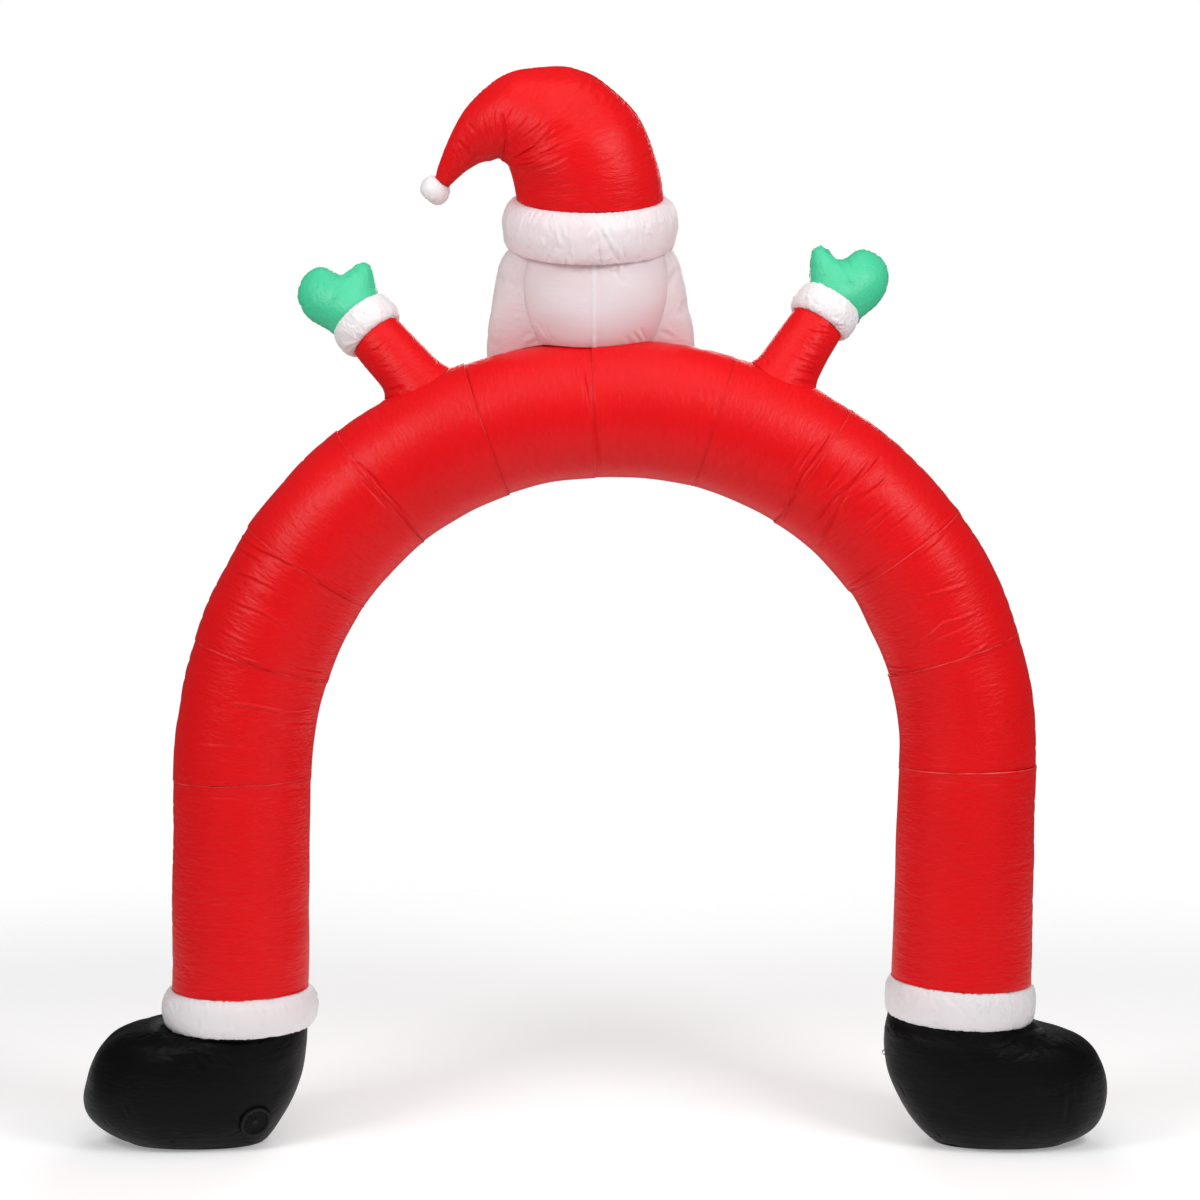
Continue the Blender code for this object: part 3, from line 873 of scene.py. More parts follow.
# along is degrees round the arch here, and round is degrees round the tube, from its outside over its back
ARCH_CREASES = table(
    Crease,
    # the crown's fold, slanting over its seam
    (92.8, 55, 92, 98, 5, 2.6), (92, 90, 91, 162, 4.5, 1.7), (91.4, 112, 90.7, 158, 4, 1),
    (92.3, 50, 91.6, 125, 14, 0.9),
    # left of the crown
    (111.2, 66, 109.4, 79, 3, 1.8), (112.2, 52, 110, 71, 3, 1.3), (113.4, 60, 110.2, 75, 3, 1.4),
    (112.4, 73, 109.8, 78, 3, 1.2), (108, 62, 109, 76, 3, 1),
    # left shoulder
    (128.9, 55, 127.4, 90, 3.5, 1.8, 3), (127.7, 78, 126.9, 128, 4, 2.4, -3), (127.9, 105, 127.6, 152, 3, 1.4),
    (129.2, 82, 128.9, 118, 3, 1.1, 2), (147, 6, 146.4, 56, 3.2, -1.7), (146.7, 50, 145.2, 94, 3.2, -1.8, 3),
    (148.2, 22, 147.6, 62, 3, -1.5), (144.6, 95, 144.4, 150, 3.2, -1.1), (150.8, 44, 150, 84, 3.4, -1.7, 4),
    (154.4, 52, 153.8, 84, 3.4, -1.5, -3), (153.9, 80, 154.5, 106, 3.2, -1.3), (158.9, 56, 159.1, 80, 3.2, -1.2),
    (161.5, 80, 161.6, 101, 3, -1.3), (160.3, 112, 160, 158, 4, 1.1), (168.7, 82, 168.3, 118, 3.6, -1.6, 4),
    (168.4, 112, 167.3, 156, 3.4, -1.3, -4), (170.7, 118, 170.2, 170, 4, 1.2, 3), (175, 60, 174.6, 112, 4, 0.8, 3),
    # right of the crown
    (73.5, 72, 73.3, 86, 3.5, 2), (76.3, 73, 73.7, 78, 3, 1.2), (75.3, 66, 73.8, 77, 3, 1),
    (71.2, 70, 72.6, 78, 3, 0.9),
    # right shoulder
    (56.7, 60, 57, 101, 3.5, 2.2, 2), (57.1, 96, 56.9, 124, 4, 2.2), (56.9, 116, 55.4, 150, 4, 1.8, 3),
    (57.9, 74, 58.1, 104, 3, 1.5, -2), (59.3, 84, 59, 116, 3, 1), (50.1, 60, 50.8, 106, 4.5, 2.6, 5),
    (50.8, 98, 50.5, 132, 4.5, 2.2, -3), (49.4, 50, 50.1, 95, 4, 2.2, 4), (50.1, 90, 46.8, 152, 5, 2.4, -7),
    (52.8, 70, 52.9, 112, 4, 1.3, 3), (46.8, 60, 47.9, 93, 4, 1.5, 3), (44.4, 82, 45.1, 114, 4, 1.4, 3),
    (43.1, 78, 43.3, 113, 3.5, 1.3), (41, 70, 41.3, 100, 3.5, 0.9), (36.9, 22, 37.1, 76, 3.2, -1.4, 3),
    (37.5, 92, 37.8, 166, 4, 1.5, -4), (35.4, 60, 35.2, 96, 3.5, 0.9), (28.4, 66, 30.8, 114, 3.6, -1.6, 5),
    (24.2, 70, 25, 99, 3.6, -1.8, 3), (24.9, 92, 22.6, 126, 3.6, -1.8, -4), (22.7, 79, 22.8, 109, 3.4, -1.2),
    (20.4, 176, 18.9, 118, 3.4, -1.9, 3), (19.4, 70, 18.2, 100, 3.4, -1.9),
)  # fmt: skip


# over a whole length of the tube
TUBE_ZONES = table(
    Zone,
    (0.5, 100, 0.6, 60, 14, 80, 0.3), (0.04, 95, 0.06, 60, 11, 40, 0.6), (0.96, 95, 0.06, 60, 11, 40, 0.6),
    (0.5, 280, 0.6, 70, 14, 80, 0.35),
)  # fmt: skip
# where the bend crowds the cloth: along and its reach are degrees round the arch here
ARCH_ZONES = table(
    Zone,
    (150.5, 62, 5.5, 26, 13, 70, 1.5, False, 0.3), (156, 70, 5, 24, 13, 60, 1.2, False, 0.3),
    (167, 100, 5, 36, 14, 80, 1, False, 0.28), (129, 85, 3, 38, 12, 70, 1.2, False, 0.3),
    (138, 70, 7, 40, 13, 50, 0.6, False, 0.3), (111.5, 66, 2.6, 14, 11, 40, 1.4, False, 0.3),
    (74.5, 72, 2.2, 12, 11, 40, 1.2, False, 0.3), (49, 92, 5.5, 34, 13, 80, 2, False, 0.3),
    (57.5, 88, 2.5, 34, 12, 70, 1.2, False, 0.3), (42, 96, 4, 26, 12, 60, 1.2, False, 0.3),
    (26, 88, 4.5, 28, 14, 60, 1.3, False, 0.28), (20.5, 100, 2.5, 40, 13, 70, 1.1, False, 0.3),
)  # fmt: skip


@dataclass
class Tube:
    """The bent red tube: ten gores and two straight legs, each drawn in where it is sewn to the next."""

    centre: Point = (0.0294, ARCH_Y, 1.031)
    seams: tuple[Seam, ...] = table(
        Seam,
        (1, 1.0135, 0.189), (18.8, 1.028, 0.19), (36.5, 1.0385, 0.19), (56, 1.033, 0.19), (72.8, 1.0245, 0.19),
        (91.9, 1.012, 0.19), (109.1, 1.0135, 0.195), (128.2, 1.0155, 0.197), (145.5, 1.015, 0.195),
        (162, 1.011, 0.192), (181, 1.017, 0.19),
    )  # fmt: skip
    pinch: float = 0.0007
    pinch_reach: float = 0.009
    ridge: float = 0.0019
    ridge_reach: float = 0.0036
    side_pucker: float = 0.0030
    side_pitch: float = 0.075
    crease_strength: float = 2.4
    swell: float = 0.0010
    leg_radius: float = 0.190
    leg_tuck: float = 0.004
    gore_rows: int = 124
    leg_rows: int = 132
    columns: int = 112
    stitch_off: float = 0.0060
    shells: list[Shell] = field(default_factory=list)

    def radii(self, degrees: Array) -> tuple[Array, Array]:
        """The arch's and the tube's radius at angles round the arch."""
        knots = [seam.degrees for seam in self.seams]
        arch = np.interp(degrees, knots, [seam.arch_radius for seam in self.seams])
        return arch, np.interp(degrees, knots, [seam.tube_radius for seam in self.seams])

    def clear(self, points: Array) -> Array:
        """The points, with those inside the curved tube moved out onto it."""
        x, z = points[..., 0] - self.centre[0], points[..., 2] - self.centre[2]
        angle = np.arctan2(z, x)
        arch, tube = self.radii(np.degrees(angle))
        off, back = np.hypot(x, z) - arch, points[..., 1] - self.centre[1]
        reach = np.maximum(np.hypot(off, back), 1e-6)
        share = np.maximum(1.0, (tube + GAP) / reach)
        out = arch + off * share
        moved = np.stack(
            [self.centre[0] + np.cos(angle) * out, self.centre[1] + back * share, self.centre[2] + np.sin(angle) * out],
            -1,
        )
        return np.where((share > 1.0)[..., None], moved, points)

    def onto(self, points: Array, gap: float = GAP) -> Array:
        """The points, all moved straight in or out to the curved tube's surface."""
        x, z = points[..., 0] - self.centre[0], points[..., 2] - self.centre[2]
        arch, tube = self.radii(np.degrees(np.arctan2(z, x)))
        away = np.hypot(x, z)
        middle = np.array(self.centre) + np.stack([x / away * arch, 0.0 * x, z / away * arch], -1)
        off = points - middle
        return middle + off * ((tube + gap) / np.linalg.norm(off, axis=-1))[..., None]

    def inside(self, points: Array) -> Array:
        """Which of the points are inside the curved tube."""
        return np.linalg.norm(self.clear(points) - points, axis=-1) > 1e-9

    def seam_shape(self, shell: Shell, seed: int, uphill: tuple[float, float]) -> Array:
        """How a tube is drawn in, ridged and puckered at its two seams.

        Args:
            shell: the plain length of tube.
            seed: what its randomness starts from.
            uphill: for each end, how far it faces up, from -1 to 1. The cloth stands out just under such a seam.

        Returns:
            A height for each point.
        """
        outside = shell.off_start(shell.size[1])
        shown = 1.0 - 0.8 * fading(outside, 0.09)
        heights = 0.0010 * shell.gathers(0.026, 0.022, seed)
        for distance, up in zip(shell.from_ends(), uphill):
            heights -= self.pinch * shown * (1.0 - abs(up)) * fading(distance, self.pinch_reach, 1.2)
            near = distance / self.ridge_reach
            heights += self.ridge * shown * max(up, 0.0) * near * np.exp(1.0 - near)
        heights += 0.0010 * shell.random((0.20, 0.26), seed + 3, low_cut=0.3)
        puckers = fading(shell.random((self.side_pitch, 0.10), seed + 7), 0.5)
        puckers = self.side_pucker * puckers * fading(outside, 0.045, 1.5)
        return heights - puckers * shell.calm(0.03) + shell.folds(TUBE_ZONES, seed + 9)

    def painted_seam_highlight(self, shell: Shell, seed: int, uphill: tuple[float, float]) -> Array:
        """How far a painted highlight lightens the cloth at each point, along the fold at a seam that faces up.

        Args:
            shell: the finished length of tube.
            seed: what its randomness starts from.
            uphill: for each end, how far it faces up, from -1 to 1.

        Returns:
            A share for each point, above 0 only at the ends.
        """
        level = np.zeros(shell.shape)
        uneven = np.clip(0.8 + 0.3 * shell.random((0.04, 0.05), seed), 0.2, 1.0)
        for end, up in zip((0, -1), uphill):
            # painted highlight, stronger the more the seam faces up
            level[end] = 0.85 * max(up, 0.0) ** 1.5 * uneven[end]
        return level

    def hidden_creases(self, seed: int) -> list[Crease]:
        """Creases on the front of a length, at random: short, across it and mostly near its seams."""
        draw = np.random.default_rng(seed)
        found = []
        for _ in range(7):
            place = draw.choice([0.05, 0.12, 0.9, 0.95, 0.5]) * draw.uniform(0.9, 1.05)
            start = draw.uniform(195.0, 320.0)
            size = draw.uniform(2.8, 4.5), draw.uniform(0.7, 1.8)
            found.append(Crease(place, start, place + draw.normal(0.0, 0.02), start + draw.uniform(22.0, 50.0), *size))
        return found

    def gore(self, number: int, start: Seam, end: Seam) -> tuple[Shell, Array]:
        """One crowned length of the curved tube, and how far a painted highlight lightens it at its seams."""
        share = np.linspace(0.0, 1.0, self.gore_rows)[:, None, None]
        angle = np.radians(start.degrees + (end.degrees - start.degrees) * share)
        arch = start.arch_radius + (end.arch_radius - start.arch_radius) * share
        outward = np.concatenate([np.cos(angle), 0.0 * angle, np.sin(angle)], 2)
        onward = np.concatenate([-np.sin(angle), 0.0 * angle, np.cos(angle)], 2)
        turn = around(self.columns)[..., None]
        radius = start.tube_radius + self.swell * np.sin(math.pi * share)
        rounded = outward * np.cos(turn) * radius + BACKWARD * np.sin(turn) * radius
        gap = (0.5 - share) * GAP
        plain = Shell(np.array(self.centre) + outward * arch + rounded + onward * gap)
        span = end.degrees - start.degrees
        middle = (start.degrees + end.degrees) / 2.0
        creases = [
            Crease((c.along_start - start.degrees) / span, c.round_start, (c.along_end - start.degrees) / span, *c[3:])
            for c in ARCH_CREASES
            if abs((c.along_start + c.along_end) / 2.0 - middle) < span
        ]
        zones = [
            z._replace(along=(z.along - start.degrees) / span, along_reach=z.along_reach / span)
            for z in ARCH_ZONES
            if abs(z.along - middle) < span
        ]
        creases += self.hidden_creases(900 + number)
        uphill = -start.onward[2], end.onward[2]
        heights = self.seam_shape(plain, 20 * number, uphill) + self.crease_strength * plain.creases(creases)
        shell = plain.pushed(heights + plain.folds(zones, 20 * number + 400))
        return shell, self.painted_seam_highlight(shell, 20 * number + 11, uphill)

    def build_gores(self) -> None:
        """Builds the ten gores. The first one is the leftmost."""
        spans = list(zip(self.seams, self.seams[1:]))
        for number, (start, end) in enumerate(reversed(spans), 1):
            # light is each point's share of the painted seam highlight
            shell, light = self.gore(number, start, end)
            self.shells.append(shell)
            name = f"gore_{number:02d}"
            WARDROBE.fit(shell.built(f"{name}_cloth", painted_light=light), Slot.RED, name)

    def build_leg(self, foot: "Foot") -> None:
        """Builds the straight length between a springing seam and a foot."""
        side = foot.side
        seam = self.seams[0] if side is Side.RIGHT else self.seams[-1]
        top = np.array(self.centre) + seam.outward * seam.arch_radius
        seat = foot.seat(GAP / 2.0)
        low = np.array(seat.translation)
        across = np.array(seat.to_3x3() @ Vector((side.value, 0.0, 0.0)))
        turn = around(self.columns)[..., None]
        share = np.linspace(0.0, 1.0, self.leg_rows)[:, None, None]
        toward = seam.outward * fading(share, 0.06) + across * (1.0 - fading(share, 0.06))
        foot_radius = foot.radius + self.leg_tuck
        radius = self.leg_radius + (foot_radius - self.leg_radius) * share**2
        centre = top + (low - top) * share - seam.onward * side.value * GAP / 2.0 * (1.0 - share)
        plain = Shell(centre + toward * np.cos(turn) * radius + BACKWARD * np.sin(turn) * radius)
        creases = [*foot.leg_creases, *self.hidden_creases(930 + int(side.value))]
        heights = self.seam_shape(plain, 300 + int(20 * side.value), (1.0, 0.0))
        heights += self.crease_strength * plain.creases(creases)
        shell = plain.pushed(heights)
        shell.points[-1] = low + (across * np.cos(turn[0]) + BACKWARD * np.sin(turn[0])) * foot_radius
        self.shells.append(shell)
        name = f"leg_{side.word}"
        # the painted seam highlight where the leg meets the springing seam
        light = self.painted_seam_highlight(shell, 311 + int(20 * side.value), (1.0, 0.0))
        WARDROBE.fit(shell.built(f"{name}_cloth", painted_light=light), Slot.RED, name)

    def sew(self) -> None:
        """Runs a line of stitches beside each seam of the tube."""
        thread = Stitching("tube_stitches", Slot.RED)
        for shell in self.shells:
            row = max(1, round(self.stitch_off / shell.size[0] * (shell.shape[0] - 1)))
            thread.along(shell.path(row))
            if shell.shape[0] != self.leg_rows:
                thread.along(shell.path(-1 - row))
        thread.build()


# ---- puffed rings ----


@dataclass
class PuffedRing:
    """A gathered ring of cloth that swells between two drawn-in seams. Its last field is how far it takes its finish's
    painted red bounce.
    """

    name: str
    seat: Matrix
    low_radius: float
    crown: float
    top_radius: float
    height: float
    seed: int
    pitch: float = 0.015
    gather: float = 0.0016
    reach: float = 0.045
    rows: int = 30
    columns: int = 220
    fine_rows: int = 56
    fine_columns: int = 320
    pressure: float = 14.0
    creases: tuple[Crease, ...] = ()
    zones: tuple[Zone, ...] = ()
    fine: float = 0.0014
    painted_light: float = 0.0

    def plain(self) -> Shell:
        """The ring's smooth outline, turned round its seat's axis."""
        angle = np.linspace(0.0, math.pi, self.rows)[:, None]
        share = (1.0 - np.cos(angle)) / 2.0
        seam = self.low_radius + (self.top_radius - self.low_radius) * share
        radius = seam + (self.crown - 0.0015 - seam) * np.sin(angle)
        turn = around(self.columns)
        height = np.broadcast_to(self.height * share, (self.rows, self.columns))
        local = np.stack([radius * np.cos(turn), radius * np.sin(turn), height], -1)
        return Shell(placed(local, self.seat))

    def build(self) -> Shell:
        """Gathers, blows up and finishes the ring."""
        plain = self.plain()
        heights = 1.6 * self.gather * plain.gathers(self.pitch, self.reach, self.seed)
        heights += self.gather * 0.3 * plain.random((0.05, 0.05), self.seed + 4)
        ends = np.minimum(*plain.from_ends())
        heights *= np.clip(ends / 0.006, 0.25, 1.0)
        shell = plain.pushed(heights).settled(self.pressure, bending=0.15, frames=14, cap=0.009)
        shell = shell.finer(self.fine_rows, self.fine_columns)
        fine = shell.gathers(self.pitch * 0.6, self.reach * 0.8, self.seed + 8)
        shell = shell.pushed(self.fine * fine + shell.creases(self.creases) + shell.folds(self.zones, self.seed + 9))
        kept = self.kept(shell)
        # painted red bounce from the red cloth, uneven over the ring
        painted_bounce = self.painted_light * np.clip(1.0 + 0.2 * shell.random((0.14, 0.14), self.seed + 11), 0.0, 2.0)
        WARDROBE.fit(kept.built(f"{self.name}_cloth", painted_light=painted_bounce), Slot.WHITE, self.name)
        return kept

    def kept(self, shell: Shell) -> Shell:
        """The shell, held between the ring's two seam planes."""
        local = seen_from(self.seat, shell.points)
        local[..., 2] = np.clip(local[..., 2], 0.0, self.height)
        return Shell(placed(local, self.seat))


CUFF_ZONES = table(
    Zone,
    (0.66, 0, 0.42, 400, 20, 80, -2.5, True, 0.18), (0.28, 0, 0.3, 400, 18, 60, -2, True, 0.2),
)  # fmt: skip


# ---- feet ----


class BootSlice(NamedTuple):
    """A level slice of a boot: heel and toe reach from the ankle's axis."""

    height: float
    heel: float
    toe: float
    half_depth: float


@dataclass
class Foot:
    """A leg's foot: the white cuff and the black boot under it, with its heel towards the arch's middle."""

    side: Side
    x: float
    z: float
    radius: float
    lean: float
    ankle_x: float
    cuff_crown: float
    slices: tuple[BootSlice, ...]
    leg_creases: tuple[Crease, ...]
    boot_creases: tuple[Crease, ...]
    boot_zones: tuple[Zone, ...]
    cuff_creases: tuple[Crease, ...]
    seed: int
    cuff_height: float = 0.104
    ankle_radius: float = 0.197
    squareness: float = 2.2
    rows: int = 62
    columns: int = 150
    fine_rows: int = 94
    fine_columns: int = 270

    def seat(self, up: float = 0.0) -> Matrix:
        """The leg's frame at its foot, or that far up from it. Z runs up the leg."""
        turn = Matrix.Rotation(math.radians(self.lean), 4, "Y")
        return Matrix.Translation((self.x, ARCH_Y, self.z)) @ turn @ lift(up)

    def build_cuff(self) -> Shell:
        """Builds the puffed cuff between the leg and the boot."""
        height = self.cuff_height - GAP
        name, seat = f"boot_cuff_{self.side.word}", self.seat(-height - GAP / 2.0)
        return PuffedRing(
            name, seat, self.ankle_radius, self.cuff_crown, self.radius, height, self.seed,
            pitch=0.017, gather=0.0013, reach=0.034, rows=24, columns=220, fine_rows=42, fine_columns=290,
            creases=self.cuff_creases, zones=CUFF_ZONES,
        ).build()  # fmt: skip

    def outline(self, row: BootSlice, columns: int) -> Array:
        """One level slice, from the toe on over the front: rounded ends, slightly square sides."""
        turn = np.arange(columns) * TAU / columns
        power = 2.0 / self.squareness
        along = np.copysign(np.abs(np.cos(turn)) ** power, np.cos(turn))
        across = np.copysign(np.abs(np.sin(turn)) ** power, np.sin(turn))
        middle, half = (row.toe - row.heel) / 2.0, (row.toe + row.heel) / 2.0
        x = self.ankle_x + self.side.value * (middle + half * along)
        return np.stack([x, ARCH_Y + row.half_depth * across, np.full(columns, row.height)], -1)

    def plain_boot(self) -> Shell:
        """The boot's smooth outline, from the ankle down to the sole."""
        ankle = self.seat(-self.cuff_height - GAP)
        across = ankle.to_3x3() @ Vector((self.side.value * self.ankle_radius, 0.0, 0.0))
        top = ellipse((self.ankle_x, ARCH_Y, ankle.translation.z), across, (0.0, self.ankle_radius, 0.0), self.columns)
        rings = [top] + [self.outline(row, self.columns) for row in self.slices]
        return Shell.lofted(rings, self.rows)

    def build_boot(self, guard: Optional["BlowerGuard"]) -> None:
        """Builds the boot, with its cloth drawn in round the guard if it has one."""
        plain = self.plain_boot()
        heights = 0.0030 * plain.gathers(0.040, 0.045, self.seed + 20, low=1.0, high=0.3)
        heights += 0.0014 * plain.random((0.16, 0.18), self.seed + 21)
        shell = plain.pushed(heights * plain.calm(0.012)).settled(9.0, bending=0.2, frames=12, cap=0.007)
        shell = shell.finer(self.fine_rows, self.fine_columns)
        fine = 0.0010 * shell.gathers(0.016, 0.022, self.seed + 22, low=1.0, high=0.4)
        fine += shell.creases(self.boot_creases) + shell.folds(self.boot_zones, self.seed + 23)
        last = shell.from_ends()[1]
        shell = shell.pushed(fine * np.clip(last / 0.012, 0.0, 1.0))
        if guard:
            shell = guard.set_into(shell)
        shell.points[..., 2] = np.maximum(shell.points[..., 2], 0.0)
        shell.points[-1, :, 2] = 0.0
        name = f"boot_{self.side.word}"
        WARDROBE.fit(shell.built(f"{name}_cloth", turn_in=0.002), Slot.BLACK, name)

    def heel_reach(self, height: float) -> float:
        """How far the heel is from the ankle's axis at a height."""
        return float(np.interp(height, [s.height for s in self.slices[::-1]], [s.heel for s in self.slices[::-1]]))


@dataclass
class HeelTab:
    """A small folded loop of tape, sewn to the right boot's heel."""

    foot: Foot
    height: float = 0.244
    size: Point = (0.008, 0.012, 0.014)
    tape: float = 0.0011

    def build(self) -> Piece:
        """Sweeps the tape's section round its fold."""
        turn = np.linspace(-0.5, 0.5, 15) * math.pi
        half = self.size[2] / 2.0 - self.tape / 2.0
        reach = self.size[0] - self.tape / 2.0
        heel = self.foot.ankle_x - self.foot.heel_reach(self.height + self.size[2] / 2.0) - GAP
        outward = np.stack([np.cos(turn), np.sin(turn)], -1)
        rings = []
        for x, z in outward:
            middle = np.array((heel - reach * x**0.8, ARCH_Y, self.height + half * z))
            normal = np.array((-x, 0.0, z))
            rings.append(ellipse(middle, normal * self.tape / 2.0, (0.0, self.size[1] / 2.0, 0.0), 12))
        piece = Shell(np.array(rings)).built("heel_tab_loop", turn_in=0.0002)
        return WARDROBE.fit(piece, Slot.BLACK, "heel_tab_right")


@dataclass
class BlowerGuard:
    """The round plastic grille over the fan, in the left boot. Geometry Nodes make its bars and screws."""

    seat_at: Point = (-0.936, ARCH_Y - 0.126, 0.088)
    facing: Point = (0.48, -0.82, -0.30)
    radius: float = 0.0425
    height: float = 0.016
    rings: int = 5
    ribs: int = 12
    bar: float = 0.0011
    screws: int = 4

    @property
    def seat(self) -> Matrix:
        """The guard's frame: Z out of the boot."""
        return frame_along(Vector(self.seat_at), Vector(self.facing))

    def set_into(self, shell: Shell) -> Shell:
        """The boot's cloth, drawn in and crinkled round the guard's rim."""
        local = seen_from(self.seat, shell.points)
        off = np.hypot(local[..., 0], local[..., 1])
        angle = np.arctan2(local[..., 1], local[..., 0])
        near = np.clip(1.0 - (off - self.radius * 1.02) / 0.030, 0.0, 1.0) * (local[..., 2] > -0.06)
        ease = near * near * (3.0 - 2.0 * near)
        ripple = 0.0022 * np.abs(np.sin(angle * 6.5 + 2.0 * np.sin(angle * 3.0))) - 0.0006
        deep = np.minimum(local[..., 2], self.height - 0.009)
        target = np.where(off < self.radius * 1.02, np.minimum(deep, 0.002), deep + ripple)
        local[..., 2] += (target - local[..., 2]) * ease
        return Shell(placed(local, self.seat))

    def dish(self) -> Piece:
        """The guard's moulded body: a flanged rim, a back plate and a hub."""
        rim, face = self.radius, self.height
        profile = (
            (0.0, face - 0.0010), (rim * 0.22, face - 0.0012), (rim * 0.27, face - 0.0022), (rim * 0.29, face - 0.0050),
            (rim * 0.31, face - 0.0090), (rim * 0.78, face - 0.0090), (rim * 0.81, face - 0.0045),
            (rim * 0.83, face - 0.0008), (rim * 0.86, face), (rim * 0.95, face), (rim * 0.985, face - 0.0008),
            (rim, face - 0.0030), (rim, 0.0006), (rim * 0.98, 0.0), (0.0, 0.0),
        )  # fmt: skip
        rows = [ellipse((0.0, 0.0, z), (r, 0.0, 0.0), (0.0, r, 0.0), 72) for r, z in profile[1:-1]]
        piece = Shell(placed(np.array(rows), self.seat)).built("guard_dish", turn_in=0.0, close=0.5)
        piece.data.set_sharp_from_angle(angle=math.radians(35.0))
        return piece

    def tree(self) -> Tree:
        """The node tree of the grille: rings, ribs and screws, joined to the dish."""
        kinds = {"Int": ("Rings", "Ribs", "Screws"), "Float": ("Radius", "Face", "Bar"), "Vector": ("Seat", "Turn")}
        nodes, given = shape_tree("fan_grille", {label: kind for kind, labels in kinds.items() for label in labels})
        maths, vector, number = nodes.maths, nodes.vector, nodes.add("GeometryNodeInputIndex")["Index"]

        def of_radius(share: float) -> Socket:
            """A share of the guard's radius."""
            return maths("MULTIPLY", given["Radius"], share)

        def turned(count: Socket, first: Socket) -> Socket:
            """Even angles round the guard, one for each number."""
            return maths("MULTIPLY", first, maths("DIVIDE", TAU, count))

        circle = nodes.add("GeometryNodeCurvePrimitiveCircle", {"Resolution": 60, "Radius": 1.0})["Curve"]
        step = maths("DIVIDE", maths("ADD", number, 1.6), maths("ADD", given["Rings"], 1.4))
        wide = maths("MULTIPLY", of_radius(0.84), step)
        rings = nodes.scattered(given["Rings"], circle, Scale=vector(wide, wide, 1.0))
        ends = {"Start": vector(of_radius(0.20), 0.0, 0.0), "End": vector(of_radius(0.87), 0.0, 0.0)}
        rib = nodes.add("GeometryNodeCurvePrimitiveLine", ends)["Curve"]
        ribs = nodes.scattered(given["Ribs"], rib, Rotation=vector(0.0, 0.0, turned(given["Ribs"], number)))
        section = nodes.add("GeometryNodeCurvePrimitiveCircle", {"Resolution": 8, "Radius": given["Bar"]})["Curve"]
        wires = {"Fill Caps": True, "Curve": nodes.joined(rings, ribs), "Profile Curve": section}
        bars = nodes.add("GeometryNodeCurveToMesh", wires)["Mesh"]
        sunk = vector(0.0, 0.0, maths("SUBTRACT", given["Face"], given["Bar"]))
        low = nodes.add("GeometryNodeTransform", {"Geometry": bars, "Translation": sunk})["Geometry"]
        cone = {"Vertices": 14, "Radius Top": 0.0012, "Radius Bottom": 0.0022, "Depth": 0.0012}
        heads = nodes.scattered(given["Screws"], nodes.add("GeometryNodeMeshCone", cone)["Mesh"])
        quarter = turned(given["Screws"], maths("ADD", number, 0.5))
        across, up = (maths("MULTIPLY", maths(side, quarter), of_radius(0.905)) for side in ("COSINE", "SINE"))
        spot = vector(across, up, maths("SUBTRACT", given["Face"], 0.0004))
        screws = nodes.add("GeometryNodeTranslateInstances", {"Instances": heads, "Translation": spot})["Instances"]
        grille = {"Geometry": nodes.joined(low, screws), "Translation": given["Seat"], "Rotation": given["Turn"]}
        set_in = nodes.add("GeometryNodeTransform", grille)["Geometry"]
        return nodes.ended(given["Finish"], given["Geometry"], set_in)

    def build(self) -> Piece:
        """Builds the guard as one piece."""
        values = {
            "Rings": self.rings,
            "Ribs": self.ribs,
            "Screws": self.screws,
            "Radius": self.radius,
            "Face": self.height,
            "Bar": self.bar,
            "Seat": self.seat_at,
            "Turn": tuple(self.seat.to_euler()),
        }
        piece = baked("guard_grille", self.dish(), self.tree(), Slot.PLASTIC, values)
        return WARDROBE.fit(piece, Slot.PLASTIC, "blower_guard")


# ---- arms ----


